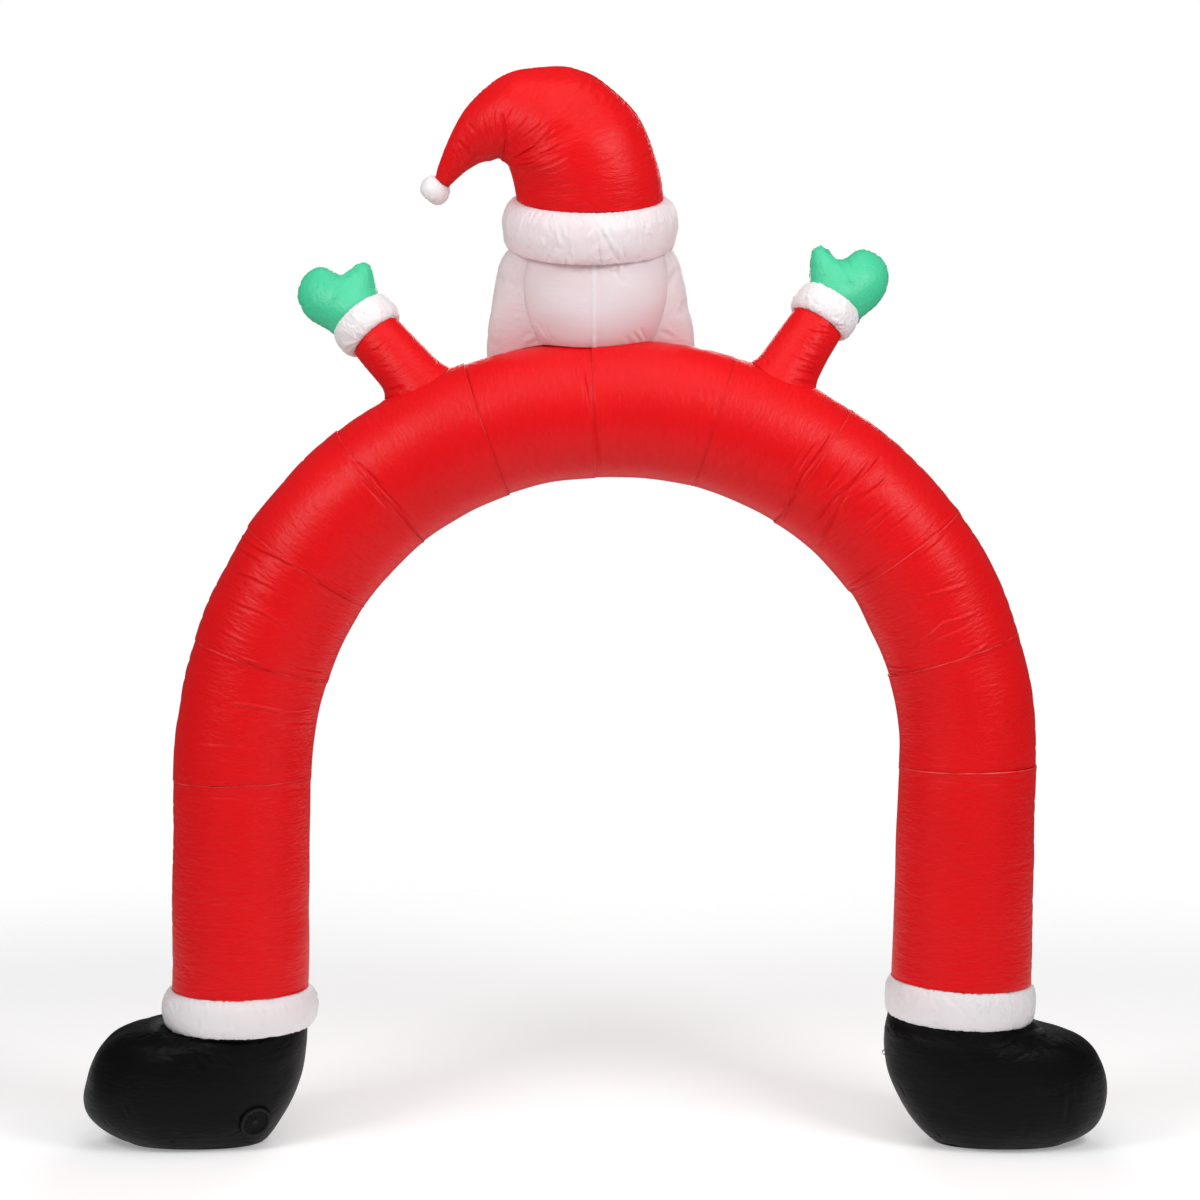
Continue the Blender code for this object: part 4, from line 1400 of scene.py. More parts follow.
@dataclass
class RaisedArm:
    """A short sleeve on the tube, with its puffed cuff and its filled mitten."""

    side: Side
    base: tuple[float, float]
    wrist: tuple[float, float]
    wrist_radius: float
    mitten_outline: tuple[tuple[float, float], ...]
    mitten_middle: tuple[float, float]
    arm_creases: tuple[Crease, ...]
    arm_zones: tuple[Zone, ...]
    cuff_creases: tuple[Crease, ...]
    mitten_creases: tuple[Crease, ...]
    seed: int
    base_radius: float = 0.090
    root: float = 0.12
    tilt: float = math.tan(math.radians(12.0))
    cuff_height: float = 0.083
    cuff_crown: float = 0.0985
    cuff_end: float = 0.085
    mitten_depth: float = 0.074
    rows: int = 44
    columns: int = 84
    mitten_rows: int = 85

    @property
    def ends(self) -> tuple[Vector, Vector, Vector]:
        """Where the arm's axis meets the tube, where its wrist is, and the direction out along it."""
        rise = math.hypot(self.wrist[0] - self.base[0], self.wrist[1] - self.base[1]) * self.tilt
        base = Vector((self.base[0], ARCH_Y, self.base[1]))
        wrist = Vector((self.wrist[0], ARCH_Y + rise, self.wrist[1]))
        return base, wrist, (wrist - base).normalized()

    def build_arm(self, tube: Tube) -> None:
        """Builds the sleeve from the tube's surface to the wrist."""
        base, wrist, along = self.ends
        across = Vector((0.0, 1.0, 0.0)).cross(along).normalized()
        deep = along.cross(across)
        root = base - along * self.root
        low = ellipse(root, across * self.base_radius, deep * self.base_radius, self.columns)
        high = ellipse(wrist - along * GAP, across * self.wrist_radius, deep * self.wrist_radius, self.columns)
        reach = np.linspace(0.0, 1.0, 400)[:, None, None]
        inside = tube.inside(low + (high - low) * reach)
        start = reach[inside.shape[0] - 1 - np.argmax(inside[::-1], axis=0)].reshape(-1, 1)
        share = np.linspace(0.0, 1.0, self.rows)[:, None, None]
        plain = Shell(low + (high - low) * (start + (1.0 - start) * share))
        first, last = plain.from_ends()
        heights = 0.0020 * plain.gathers(0.022, 0.035, self.seed, low=0.6, high=0.6)
        heights += 0.0130 * fading(first, 0.020, 1.3) + 0.0007 * plain.random((0.12, 0.14), self.seed + 1)
        heights *= np.clip(last / 0.008, 0.0, 1.0)
        shell = plain.pushed(heights).settled(12.0, bending=0.15, frames=10, cap=0.006)
        shell = shell.finer(76, 130)
        fine = 0.0008 * shell.gathers(0.012, 0.025, self.seed + 3) + shell.creases(self.arm_creases)
        fine += shell.folds(self.arm_zones, self.seed + 4)
        shell = shell.pushed(fine * np.clip(shell.from_ends()[1] / 0.006, 0.0, 1.0))
        drop = tube.onto(shell.points[0]) - shell.points[0]
        shell = shell.squared(-1, 0.010)
        shell = Shell(tube.clear(shell.points + drop[None] * np.exp(-shell.from_ends()[0] / 0.012)[..., None]))
        rim, above = shell.points[:2]
        middle = rim.mean(axis=0)
        under = [tube.onto(middle + (rim - middle) * share, TUCK_GAP) for share in (0.06, 0.35, 0.65, 0.90, 0.985)]
        seated = Shell(np.concatenate([under, [rim, hemmed(rim, above)], shell.points[1:]]))
        name = f"arm_{self.side.word}"
        WARDROBE.fit(seated.built(f"{name}_cloth", turn_in=0.001), Slot.RED, name)

    def build_cuff(self) -> Shell:
        """Builds the puffed cuff at the wrist."""
        _, wrist, along = self.ends
        name, seat = f"wrist_cuff_{self.side.word}", frame_along(wrist, along)
        return PuffedRing(
            name, seat, self.wrist_radius, self.cuff_crown, self.cuff_end, self.cuff_height, self.seed + 10,
            pitch=0.013, gather=0.0013, reach=0.028, rows=22, columns=130, fine_rows=38, fine_columns=200,
            creases=self.cuff_creases, zones=CUFF_ZONES,
        ).build()  # fmt: skip

    def build_mitten(self) -> None:
        """Blows the mitten up from its cut outline: two faces sewn together round the edge."""
        _, wrist, along = self.ends
        end = np.array(wrist + along * self.cuff_height)
        outline = self.smooth_outline(220)
        bulge = np.linspace(-math.pi / 2.0, math.pi / 2.0, 61)[:, None]
        middle = np.array(self.mitten_middle)
        flat = middle + (outline - middle) * np.cos(bulge)[..., None]
        x, z = flat[..., 0], flat[..., 1]
        deep = np.sign(bulge) * self.mitten_depth * self.fullness(outline, x, z)
        tilted = np.hypot(x, z) * self.tilt
        plain = Shell(end + np.stack([x, tilted + deep, z], -1))
        heights = -0.0022 * plain.puckers((0.12, 0.014), self.seed + 21) * fading(bulge, 0.55)
        shell = plain.pushed(heights).settled(10.0, bending=0.2, frames=10, cap=0.005)
        shell = shell.finer(self.mitten_rows, 164)
        bulge = np.linspace(-math.pi / 2.0, math.pi / 2.0, self.mitten_rows)[:, None]
        fine = -0.0015 * shell.puckers((0.12, 0.013), self.seed + 22) * fading(bulge, 0.40)
        fine += shell.creases(self.mitten_creases)
        fine -= 0.0010 * fading(bulge, 0.06)
        shell = shell.pushed(fine)
        local = (shell.points - end) @ np.array(along)
        short = np.maximum(GAP - local, 0.0)[..., None]
        shell = Shell(shell.points + short * np.array(along))
        name = f"mitten_{self.side.word}"
        WARDROBE.fit(shell.built(f"{name}_cloth", turn_in=0.0, close=0.5), Slot.GREEN, name)

    def fullness(self, outline: Array, x: Array, z: Array) -> Array:
        """How far two faces sewn together round the outline puff out, as a share of the most.

        Args:
            outline: the sewn edge, as points at even angles round the mitten's middle.
            x: where to read it, across.
            z: where to read it, up.

        Returns:
            The share at each place, by the height of a skin stretched over the outline.
        """
        count = 96
        low, high = outline.min(axis=0) - 0.004, outline.max(axis=0) + 0.004
        across = np.linspace(low[0], high[0], count)[:, None] - self.mitten_middle[0]
        up = np.linspace(low[1], high[1], count)[None] - self.mitten_middle[1]
        reach = np.linalg.norm(outline - np.array(self.mitten_middle), axis=1)
        turn = np.arange(len(outline)) * TAU / len(outline)
        inside = np.hypot(across, up) < np.interp(np.arctan2(up, across) % TAU, turn, reach, period=TAU)
        skin = np.zeros((count, count))
        for _ in range(2600):
            beside = np.roll(skin, 1, 0) + np.roll(skin, -1, 0) + np.roll(skin, 1, 1) + np.roll(skin, -1, 1)
            skin = (beside / 4.0 + 1.0) * inside
        cells = [(x - low[0]) / (high[0] - low[0]) * (count - 1), (z - low[1]) / (high[1] - low[1]) * (count - 1)]
        corner = [np.clip(c.astype(int), 0, count - 2) for c in cells]
        share = [c - k for c, k in zip(cells, corner)]
        read = sum(
            skin[corner[0] + i, corner[1] + k] * abs(1 - i - share[0]) * abs(1 - k - share[1])
            for i in (0, 1)
            for k in (0, 1)
        )
        return np.sqrt(np.clip(read / skin.max(), 0.0, 1.0))

    def smooth_outline(self, count: int) -> Array:
        """The mitten's cut outline as a smooth closed line, read at even angles round its middle."""
        corners = np.array(self.mitten_outline)
        _, _, along = self.ends
        toward = np.array((along.x, along.z)) / math.hypot(along.x, along.z)
        sleeve = [corners[-1] - toward * 0.09, corners[0] - toward * 0.09]
        closed = np.concatenate([corners, sleeve, corners[:1]])
        steps = np.linalg.norm(np.diff(closed, axis=0), axis=1)
        knots = np.concatenate([[0.0], np.cumsum(steps)])
        wide = np.concatenate([knots[:-1] - knots[-1], knots, knots[1:] + knots[-1]])
        values = np.concatenate([closed[:-1], closed, closed[1:]])
        line = spline(wide, values, np.linspace(0.0, knots[-1], 900, endpoint=False))
        off = line - np.array(self.mitten_middle)
        angle = np.unwrap(np.arctan2(off[:, 1], off[:, 0]))
        if angle[-1] < angle[0]:
            off, angle = off[::-1], angle[::-1]
        order = np.argsort(angle % TAU)
        turn = np.arange(count) * TAU / count
        reach = np.interp(turn, (angle % TAU)[order], np.linalg.norm(off, axis=1)[order], period=TAU)
        return np.array(self.mitten_middle) + reach[:, None] * np.stack([np.cos(turn), np.sin(turn)], -1)


# ---- head and hat ----


class FormSlice(NamedTuple):
    """A slice of the wide form, down from the band."""

    down: float
    half_width: float
    forward: float
    half_depth: float


class Station(NamedTuple):
    """A station of the hat, from the inside of its bend to the outside."""

    inner_u: float
    inner_v: float
    outer_u: float
    outer_v: float


@dataclass
class Head:
    """The capped head's back: a wide form, a round pouch sewn to it, the hat's band, the hat and its bobble."""

    lean: float = math.radians(18.0)
    seat_at: Point = (-0.0134, ARCH_Y + 0.020, 2.499)
    form_slices: tuple[FormSlice, ...] = table(
        FormSlice,
        (0, 0.224, 0.02, 0.172), (0.03, 0.246, 0.022, 0.172), (0.09, 0.267, 0.022, 0.168),
        (0.165, 0.284, 0.02, 0.162), (0.255, 0.297, 0.018, 0.155), (0.34, 0.294, 0.018, 0.143),
        (0.4, 0.264, 0.018, 0.118), (0.436, 0.21, 0.018, 0.085), (0.452, 0.13, 0.018, 0.045),
    )  # fmt: skip
    pouch_at: Point = (0.012, -0.034, -0.108)
    pouch_half: Point = (0.216, 0.190, 0.240)
    band_height: float = 0.139
    band_lower: float = 0.2268
    band_crown: float = 0.247
    band_upper: float = 0.205
    stations: tuple[Station, ...] = table(
        Station,
        (-0.205, 0, 0.205, 0), (-0.215, 0.06, 0.197, 0.069), (-0.228, 0.095, 0.18, 0.127),
        (-0.236, 0.104, 0.16, 0.18), (-0.24, 0.107, 0.127, 0.239), (-0.243, 0.109, 0.075, 0.29),
        (-0.247, 0.11, 0.016, 0.334), (-0.251, 0.111, -0.052, 0.359), (-0.258, 0.111, -0.134, 0.361),
        (-0.27, 0.109, -0.217, 0.348), (-0.289, 0.106, -0.292, 0.305), (-0.314, 0.095, -0.345, 0.252),
        (-0.34, 0.079, -0.379, 0.197), (-0.365, 0.058, -0.405, 0.136), (-0.394, 0.032, -0.43, 0.062),
    )  # fmt: skip
    hat_depth: float = 0.97
    bobble_radius: float = 0.044
    bobble_end: float = 0.012
    bobble_height: float = 0.064

    def seat(self, up: float = 0.0) -> Matrix:
        """The head's frame at a height above the band's lower seam: Z up its leaning axis, X to the right."""
        return Matrix.Translation(self.seat_at) @ Matrix.Rotation(self.lean, 4, "X") @ lift(up)

    def build_form(self, tube: Tube) -> None:
        """Builds the wide form, seated on the tube and shut against its front."""
        rings = [
            ellipse((0.0, s.forward, -GAP - s.down), (s.half_width, 0, 0), (0, s.half_depth, 0), 170)
            for s in self.form_slices
        ]
        plain = Shell.lofted([placed(ring, self.seat()) for ring in rings], 62)
        heights = 0.0026 * plain.gathers(0.030, 0.045, 601, low=1.0, high=0.6)
        heights += 0.0012 * plain.random((0.18, 0.20), 602, low_cut=0.3)
        shell = plain.pushed(heights * plain.calm(0.012)).settled(8.0, bending=0.2, frames=12, cap=0.008)
        shell = shell.finer(90, 230)
        shell = shell.pushed(0.0009 * shell.gathers(0.014, 0.03, 603) + shell.creases(FORM_CREASES))
        local = seen_from(self.seat(), shell.points)
        local[..., 2] = np.minimum(local[..., 2], -GAP)
        shell = Shell(tube.clear(placed(local, self.seat())))
        # painted red bounce from the tube, strongest near it
        painted_light = self.painted_light(shell, tube)
        WARDROBE.fit(shell.built("side_form_cloth", painted_light=painted_light), Slot.WHITE, "side_form")

    def painted_light(self, shell: Shell, tube: Tube) -> Array:
        """How much painted red bounce from the tube a form takes, point by point: most near the tube."""
        x, z = shell.points[..., 0] - tube.centre[0], shell.points[..., 2] - tube.centre[2]
        arch, radius = tube.radii(np.degrees(np.arctan2(z, x)))
        away = np.maximum(np.hypot(np.hypot(x, z) - arch, shell.points[..., 1] - tube.centre[1]) - radius, 0.0)
        uneven = np.clip(1.0 + 0.15 * shell.random((0.16, 0.16), 690), 0.5, 1.6)
        # painted red bounce: strongest near the tube's surface, uneven at random
        return (0.19 + 0.38 * np.exp(-away / 0.034)) * uneven

    def form_back(self, x: Array, z: Array) -> Array:
        """Where the wide form's back is, in the head's frame."""
        down, *sizes = np.array(self.form_slices).T
        width, forward, depth = (np.interp(-z, down, size) for size in sizes)
        return forward - depth * np.sqrt(np.clip(1.0 - (x / width) ** 2, 0.0, 1.0))

    def laid(self, local: Array) -> Array:
        """The pouch's points, with the side that is inside the wide form laid on the form's back instead."""
        out = local.copy()
        columns = local.shape[1]
        clear = local[..., 1] < self.form_back(local[..., 0], local[..., 2]) - TUCK_GAP
        for row, shown in zip(out, clear):
            seen = np.flatnonzero(shown)
            if len(seen):
                first, last = seen[0], seen[-1]
                hidden = np.arange(last + 1, first + columns) % columns
                share = (np.arange(len(hidden)) + 1.0)[:, None] / (len(hidden) + 1.0)
                row[hidden] = row[last] + (row[first] - row[last]) * share
            back = self.form_back(row[:, 0], row[:, 2]) - TUCK_GAP
            row[:, 1] = np.where(shown, row[:, 1], back)
        return out

    def build_pouch(self, tube: Tube) -> None:
        """Builds the round pouch at the head's back, with the sewn line down its middle."""
        columns = 180
        x0, y0, z0 = self.pouch_at
        wide, deep, high = self.pouch_half
        top = math.asin(-z0 / high)
        rise = np.linspace(top, -math.pi / 2.0 * 0.93, 58)[:, None]
        turn = around(columns)
        full = np.cos(rise) ** 0.8 * math.cos(top) ** 0.2
        x = x0 + wide * full * np.cos(turn)
        y = y0 + deep * full * np.sin(turn)
        z = np.broadcast_to(z0 + high * np.sin(rise), x.shape)
        plain = Shell(placed(np.stack([x, y, z], -1), self.seat()))
        heights = 0.0026 * plain.gathers(0.032, 0.035, 621, low=1.0, high=0.5)
        heights += 0.0010 * plain.random((0.16, 0.16), 622, low_cut=0.3)
        heights -= 0.0030 * fading(np.abs(plain.beside(270.0)), 0.03, 1.4)
        hold = np.clip(plain.from_ends()[0] / 0.010, 0.0, 1.0)
        pins = (columns * 3 // 4,)
        shell = plain.pushed(heights * hold).settled(8.0, bending=0.2, frames=12, cap=0.007, pins=pins)
        shell = shell.finer(86, 300)
        beside = shell.beside(270.0)
        fine = -0.0014 * shell.puckers((0.012, 0.05), 623) * fading(np.abs(beside), 0.016, 1.5)
        fine += 0.0042 * fading(beside, 0.0048)
        shell = shell.pushed(fine + 0.0009 * shell.gathers(0.014, 0.03, 624) + shell.creases(POUCH_CREASES))
        local = self.laid(seen_from(self.seat(), shell.points))
        local[..., 2] = np.minimum(local[..., 2], -GAP)
        shell = Shell(tube.clear(placed(local, self.seat())))
        # painted shade at the pouch's sides as extra painted red bounce; along the centre seam the painted red bounce
        # is taken away, so the seam shows as a painted highlight
        side = np.clip((np.abs(local[..., 0] - x0) / wide - 0.70) / 0.30, 0.0, 1.0)
        painted_light = self.painted_light(shell, tube) + 0.16 * side**2
        painted_light *= 1.0 - 0.95 * fading(beside, 0.0060)
        WARDROBE.fit(shell.built("head_pouch_cloth", painted_light=painted_light), Slot.WHITE, "head_pouch")

    def build_band(self) -> Shell:
        """Builds the hat's puffed band."""
        # the band takes a painted red bounce all over, at 0.16
        return PuffedRing(
            "hat_band", self.seat(), self.band_lower, self.band_crown, self.band_upper, self.band_height, 641,
            pitch=0.021, gather=0.0015, reach=0.060, rows=36, columns=250, fine_rows=58, fine_columns=430,
            fine=0.0008, creases=BAND_CREASES, zones=BAND_ZONES, painted_light=0.16,
        ).build()  # fmt: skip

    def build_hat(self) -> None:
        """Builds the cone that bends over to the left, with a sewn line over its outside."""
        seat = self.seat(self.band_height + GAP)
        rings = []
        for station in self.stations:
            inner = np.array((station.inner_u, 0.0, station.inner_v))
            outer = np.array((station.outer_u, 0.0, station.outer_v))
            half = (outer - inner) / 2.0
            deep = np.array((0.0, self.hat_depth * np.linalg.norm(half), 0.0))
            rings.append(placed(ellipse((inner + outer) / 2.0, half, deep, 150), seat))
        plain = Shell.lofted(rings, 92)
        girth = plain.size[1]
        heights = 0.0026 * plain.gathers(0.034, 0.030, 661, low=0.8, high=0.3)
        heights += 0.0014 * plain.random((0.16, 0.18), 662, low_cut=0.3)
        heights -= 0.0030 * fading(plain.off_start(girth), 0.012, 1.3)
        pushed = plain.pushed(heights * plain.calm(0.012))
        shell = pushed.settled(8.0, bending=0.2, frames=12, cap=0.007, pins=(0,)).finer(236, 256)
        fine = -0.0034 * shell.puckers((0.013, 0.06), 664) * fading(shell.off_start(girth), 0.045, 1.5)
        fine += 0.0010 * shell.gathers(0.014, 0.020, 665)
        fine += shell.creases(HAT_CREASES) + shell.folds(HAT_ZONES, 666)
        shell = shell.pushed(fine * shell.calm(0.006)).squared(0, 0.012)
        WARDROBE.fit(shell.built("hat_cloth"), Slot.RED, "hat")

    def build_bobble(self) -> None:
        """Builds the gathered ball on the hat's tip."""
        seat, last = self.seat(self.band_height + GAP), self.stations[-1]
        inner = Vector((last.inner_u, 0.0, last.inner_v))
        outer = Vector((last.outer_u, 0.0, last.outer_v))
        chord = (outer - inner).normalized()
        away = seat.to_3x3() @ Vector((-chord.z, 0.0, chord.x))
        tip = seat @ ((inner + outer) / 2.0)
        seam, seat = (outer - inner).length / 2.0, frame_along(tip + away * GAP, away)
        PuffedRing(
            "hat_bobble", seat, seam, self.bobble_radius, self.bobble_end, self.bobble_height, 681,
            pitch=0.013, gather=0.0016, reach=0.026, rows=24, columns=72, fine_rows=44, fine_columns=130,
        ).build()  # fmt: skip


FORM_CREASES = table(
    Crease,
    (0.05, 174, 0.059, 212, 4, -2.4), (0.067, 204, 0.041, 215, 4, 2.4), (0.078, 216, 0.149, 217, 4, -2.2),
    (0.223, 220, 0.201, 225, 4, -1.6), (0.484, 231, 0.433, 240, 4, -2.8), (0.459, 228, 0.419, 236, 4, 2),
    (0.356, 221, 0.338, 229, 4, -1.6), (0.395, 314, 0.449, 325, 4, -2.8), (0.421, 312, 0.468, 322, 4, 2.4),
    (0.003, 345, 0.109, 340, 4, -2.4), (0.067, 334, 0.123, 324, 4, 2), (0.471, 325, 0.512, 342, 4, -1.8),
)  # fmt: skip
POUCH_CREASES = table(
    Crease,
    (0.397, 219, 0.512, 228, 4.5, 4), (0.412, 228, 0.529, 233, 4.5, 3.4), (0.465, 208, 0.55, 218, 4.5, 2.8),
    (0.42, 308, 0.532, 321, 4.5, 4), (0.442, 301, 0.53, 314, 4.5, 3), (0.429, 324, 0.621, 327, 4, 2.6),
    (0.465, 295, 0.524, 302, 4, 1.8), (0.165, 220, 0.301, 210, 6, 1.4), (0.171, 324, 0.299, 329, 6, 1.4),
)  # fmt: skip
BAND_CREASES = table(
    Crease,
    (0.839, 272, 0.096, 278, 4.5, 3.2, -2), (0.796, 273, 0.099, 292, 4.5, 3.6, 3),
    (0.727, 277, 0.226, 294, 4, -2.8, 3), (0.738, 247, 0.41, 251, 4, -2.6), (0.737, 219, 0.539, 218, 4, -2.4),
    (0.505, 237, 0.407, 240, 4, -2), (0.715, 252, 0.532, 255, 4, -2), (0.517, 268, 0.656, 273, 4, -2.2),
    (0.278, 254, 0.033, 259, 4, -1.8), (0.69, 312, 0.488, 314, 4, -2), (0.683, 323, 0.487, 327, 4, -2),
    (0.742, 224, 0.597, 224, 4, 1.6), (0.791, 240, 0.545, 245, 4, 1.6), (0.789, 260, 0.512, 259, 4, 1.6),
    (0.286, 284, 0.171, 279, 4, -2), (0.835, 301, 0.584, 301, 4, -1.8), (0.39, 233, 0.235, 235, 4, -1.8),
    (0.585, 212, 0.382, 207, 4, -1.8),
)  # fmt: skip
BAND_ZONES = table(
    Zone,
    (0.62, 270, 0.42, 130, 22, 130, -2, True, 0.15), (0.35, 270, 0.32, 120, 20, 90, -1.3, True, 0.16),
    (0.6, 90, 0.6, 110, 22, 130, -1.8, True, 0.16),
)  # fmt: skip
HAT_ZONES = table(
    Zone,
    (0.4, 226, 0.17, 26, 17, 110, 2.4, False, 0.28), (0.24, 240, 0.09, 26, 15, 80, 1.8, False, 0.28),
    (0.27, 338, 0.16, 16, 17, 40, 2.2, False, 0.3), (0.62, 262, 0.1, 34, 15, 60, 1.3, False, 0.28),
    (0.78, 250, 0.12, 50, 14, 50, 1.3, False, 0.28), (0.42, 145, 0.2, 36, 17, 110, 2, False, 0.28),
)  # fmt: skip
HAT_CREASES = table(
    Crease,
    (0.613, 286, 0.5, 217, 4.5, 5), (0.36, 220, 0.382, 274, 4, 4.5, 6), (0.382, 234, 0.365, 273, 3.5, -2.6, 5),
    (0.52, 252, 0.492, 277, 3.5, 3, 3), (0.456, 248, 0.428, 272, 3.5, 2.8, 3), (0.297, 223, 0.305, 268, 4, 4, 4),
    (0.307, 229, 0.288, 266, 3.5, -3, 3), (0.231, 223, 0.288, 253, 3.5, 2.6, 3),
    (0.183, 235, 0.24, 267, 3.5, -3.2, 3), (0.207, 235, 0.257, 266, 3.5, 2.2, 3),
    (0.165, 242, 0.217, 267, 3.5, 2, 2), (0.377, 246, 0.358, 265, 3.5, 2, 2), (0.569, 273, 0.565, 288, 3.5, 2.2),
    (0.627, 266, 0.645, 294, 4, 2), (0.667, 256, 0.686, 290, 4, 2), (0.724, 276, 0.755, 301, 4, 1.8),
    (0.822, 294, 0.795, 259, 4.5, 3), (0.788, 266, 0.781, 242, 4.5, 2.6), (0.866, 296, 0.856, 260, 4, 1.8),
    (0.25, 322, 0.253, 358, 3.5, 3.4), (0.238, 323, 0.24, 343, 3.5, 2.6), (0.226, 322, 0.228, 342, 3.5, 2.2),
    (0.341, 326, 0.346, 348, 4, 2.8), (0.322, 325, 0.327, 358, 4, 2.8), (0.307, 324, 0.312, 359, 4, 2.6),
    (0.406, 323, 0.41, 342, 4, 2.4), (0.381, 324, 0.384, 342, 4, 2), (0.18, 326, 0.185, 344, 3.5, 2.6),
    (0.16, 328, 0.163, 345, 3.5, 2.2), (0.269, 325, 0.273, 349, 3.5, 2.6), (0.105, 240, 0.128, 262, 5, 1.4),
    (0.07, 250, 0.093, 265, 5, 1.4), (0.091, 206, 0.123, 228, 4, 1.2),
)  # fmt: skip


# ---- the studio ----


class SoftBox(NamedTuple):
    """A soft light: its middle, what it points at, its width and height, and its power in watts."""

    name: str
    at: Point
    to: Point
    size: tuple[float, float]
    watts: float


MIDDLE, CROWN = (0.0, 0.0, 1.5), (0.0, 0.0, 2.3)
SOFT_BOXES = (
    SoftBox("over_key", (0.1, -1.3, 5.5), MIDDLE, (3.2, 2.2), 37.0),
    SoftBox("over_back", (-0.1, -3.2, 5.1), MIDDLE, (2.8, 1.4), 28.0),
    SoftBox("left_side", (-2.9, -2.6, 3.6), CROWN, (1.6, 1.6), 80.0),
    SoftBox("right_side", (2.9, -2.6, 3.6), CROWN, (1.6, 1.6), 92.0),
    SoftBox("front_fill", (0.5, 6.4, 3.8), MIDDLE, (4.4, 2.8), 150.0),
)


@dataclass
class Studio:
    """A pale floor, soft light all round and the camera straight behind the arch."""

    camera_at: Point = (0.014, ARCH_Y - 6.513, 1.818)
    lens: float = 69.78
    shift_y: float = -0.0917
    floor_radius: float = 14.0
    fade_start: float = 2.1
    fade_end: float = 5.0
    pale: float = 0.92
    floor_glow: float = 0.28
    world_light: float = 0.20
    world_seen: float = 1.0
    world_reflected: float = 0.10

    def build_floor(self) -> None:
        """A disc whose edge fades out into the backdrop."""
        count = 96
        middle = (0.0, 0.0, -0.0005)
        ring = ellipse(middle, (self.floor_radius, 0, 0), (0, self.floor_radius, 0), count)
        mesh = bpy.data.meshes.new("floor")
        mesh.from_pydata([*ring.tolist(), middle], [], [(i, (i + 1) % count, count) for i in range(count)])
        finish, nodes, shader = new_finish("pale_floor")
        pale = {"Base Color": (self.pale, self.pale, self.pale, 1.0), "Roughness": 0.9, "Specular IOR Level": 0.1}
        nodes.feed(shader, pale | {"Emission Color": WHITE, "Emission Strength": self.floor_glow})
        place = nodes.add("ShaderNodeTexCoord")["Object"]
        away = nodes.add("ShaderNodeVectorMath", {0: place}, operation="LENGTH")["Value"]
        span = {"From Min": self.fade_start, "From Max": self.fade_end, "Value": away}
        fade = nodes.add("ShaderNodeMapRange", span, interpolation_type="SMOOTHSTEP")["Result"]
        mixed = nodes.blend(fade, shader.outputs["BSDF"], nodes.add("ShaderNodeBsdfTransparent")["BSDF"])
        nodes.feed(nodes.tree.nodes["Material Output"], {"Surface": mixed})
        mesh.materials.append(finish)
        floor = added("floor", mesh)

    def build_world(self) -> None:
        """An even pale surround that lights the arch less than it shows."""
        world = bpy.data.worlds.new("surround")
        bpy.context.scene.world = world
        world.use_nodes = True
        nodes = Nodes(world.node_tree)
        seen = nodes.tree.nodes["Background"]
        nodes.feed(seen, {"Color": WHITE, "Strength": self.world_seen})
        lit, mirrored = (
            nodes.add("ShaderNodeBackground", {"Color": WHITE, "Strength": strength})["Background"]
            for strength in (self.world_light, self.world_reflected)
        )
        rays = nodes.add("ShaderNodeLightPath")
        unseen = nodes.blend(rays["Is Glossy Ray"], lit, mirrored)
        whole = nodes.blend(rays["Is Camera Ray"], unseen, seen.outputs["Background"])
        nodes.feed(nodes.tree.nodes["World Output"], {"Surface": whole})

    def build_light(self, box: SoftBox) -> None:
        """Hangs one soft box."""
        light = bpy.data.lights.new(box.name, "AREA")
        light.shape = "RECTANGLE"
        light.size, light.size_y = box.size
        light.energy = box.watts
        lamp = added(box.name, light)
        lamp.location = box.at
        lamp.rotation_euler = (Vector(box.to) - Vector(box.at)).to_track_quat("-Z", "Y").to_euler()

    def build_camera(self) -> None:
        """The camera, level and straight behind the arch."""
        view = bpy.data.cameras.new("camera")
        view.lens, view.sensor_width, view.shift_y = self.lens, 36.0, self.shift_y
        camera = added("camera", view)
        camera.location = self.camera_at
        camera.rotation_euler = (math.radians(90.0), 0.0, 0.0)
        bpy.context.scene.camera = camera

    def build(self) -> None:
        """Sets the whole studio up."""
        bpy.context.scene.view_settings.view_transform = "Standard"
        self.build_camera()
        self.build_floor()
        self.build_world()
        for box in SOFT_BOXES:
            self.build_light(box)


# ---- the arch's own sizes ----

LEFT_SLICES = table(
    BootSlice,
    (0.313, 0.196, 0.318, 0.184), (0.3, 0.196, 0.348, 0.196), (0.272, 0.195, 0.377, 0.204),
    (0.222, 0.187, 0.404, 0.208), (0.171, 0.175, 0.419, 0.207), (0.127, 0.16, 0.425, 0.2),
    (0.087, 0.14, 0.414, 0.186), (0.047, 0.115, 0.377, 0.162), (0.018, 0.093, 0.332, 0.134),
    (0, 0.076, 0.297, 0.104),
)  # fmt: skip
RIGHT_SLICES = table(
    BootSlice,
    (0.324, 0.203, 0.214, 0.196), (0.308, 0.206, 0.268, 0.197), (0.296, 0.207, 0.32, 0.199),
    (0.268, 0.208, 0.366, 0.204), (0.228, 0.204, 0.394, 0.208), (0.19, 0.197, 0.408, 0.208),
    (0.146, 0.182, 0.413, 0.204), (0.101, 0.16, 0.405, 0.192), (0.054, 0.127, 0.379, 0.168),
    (0.02, 0.095, 0.338, 0.136), (0, 0.07, 0.296, 0.104),
)  # fmt: skip
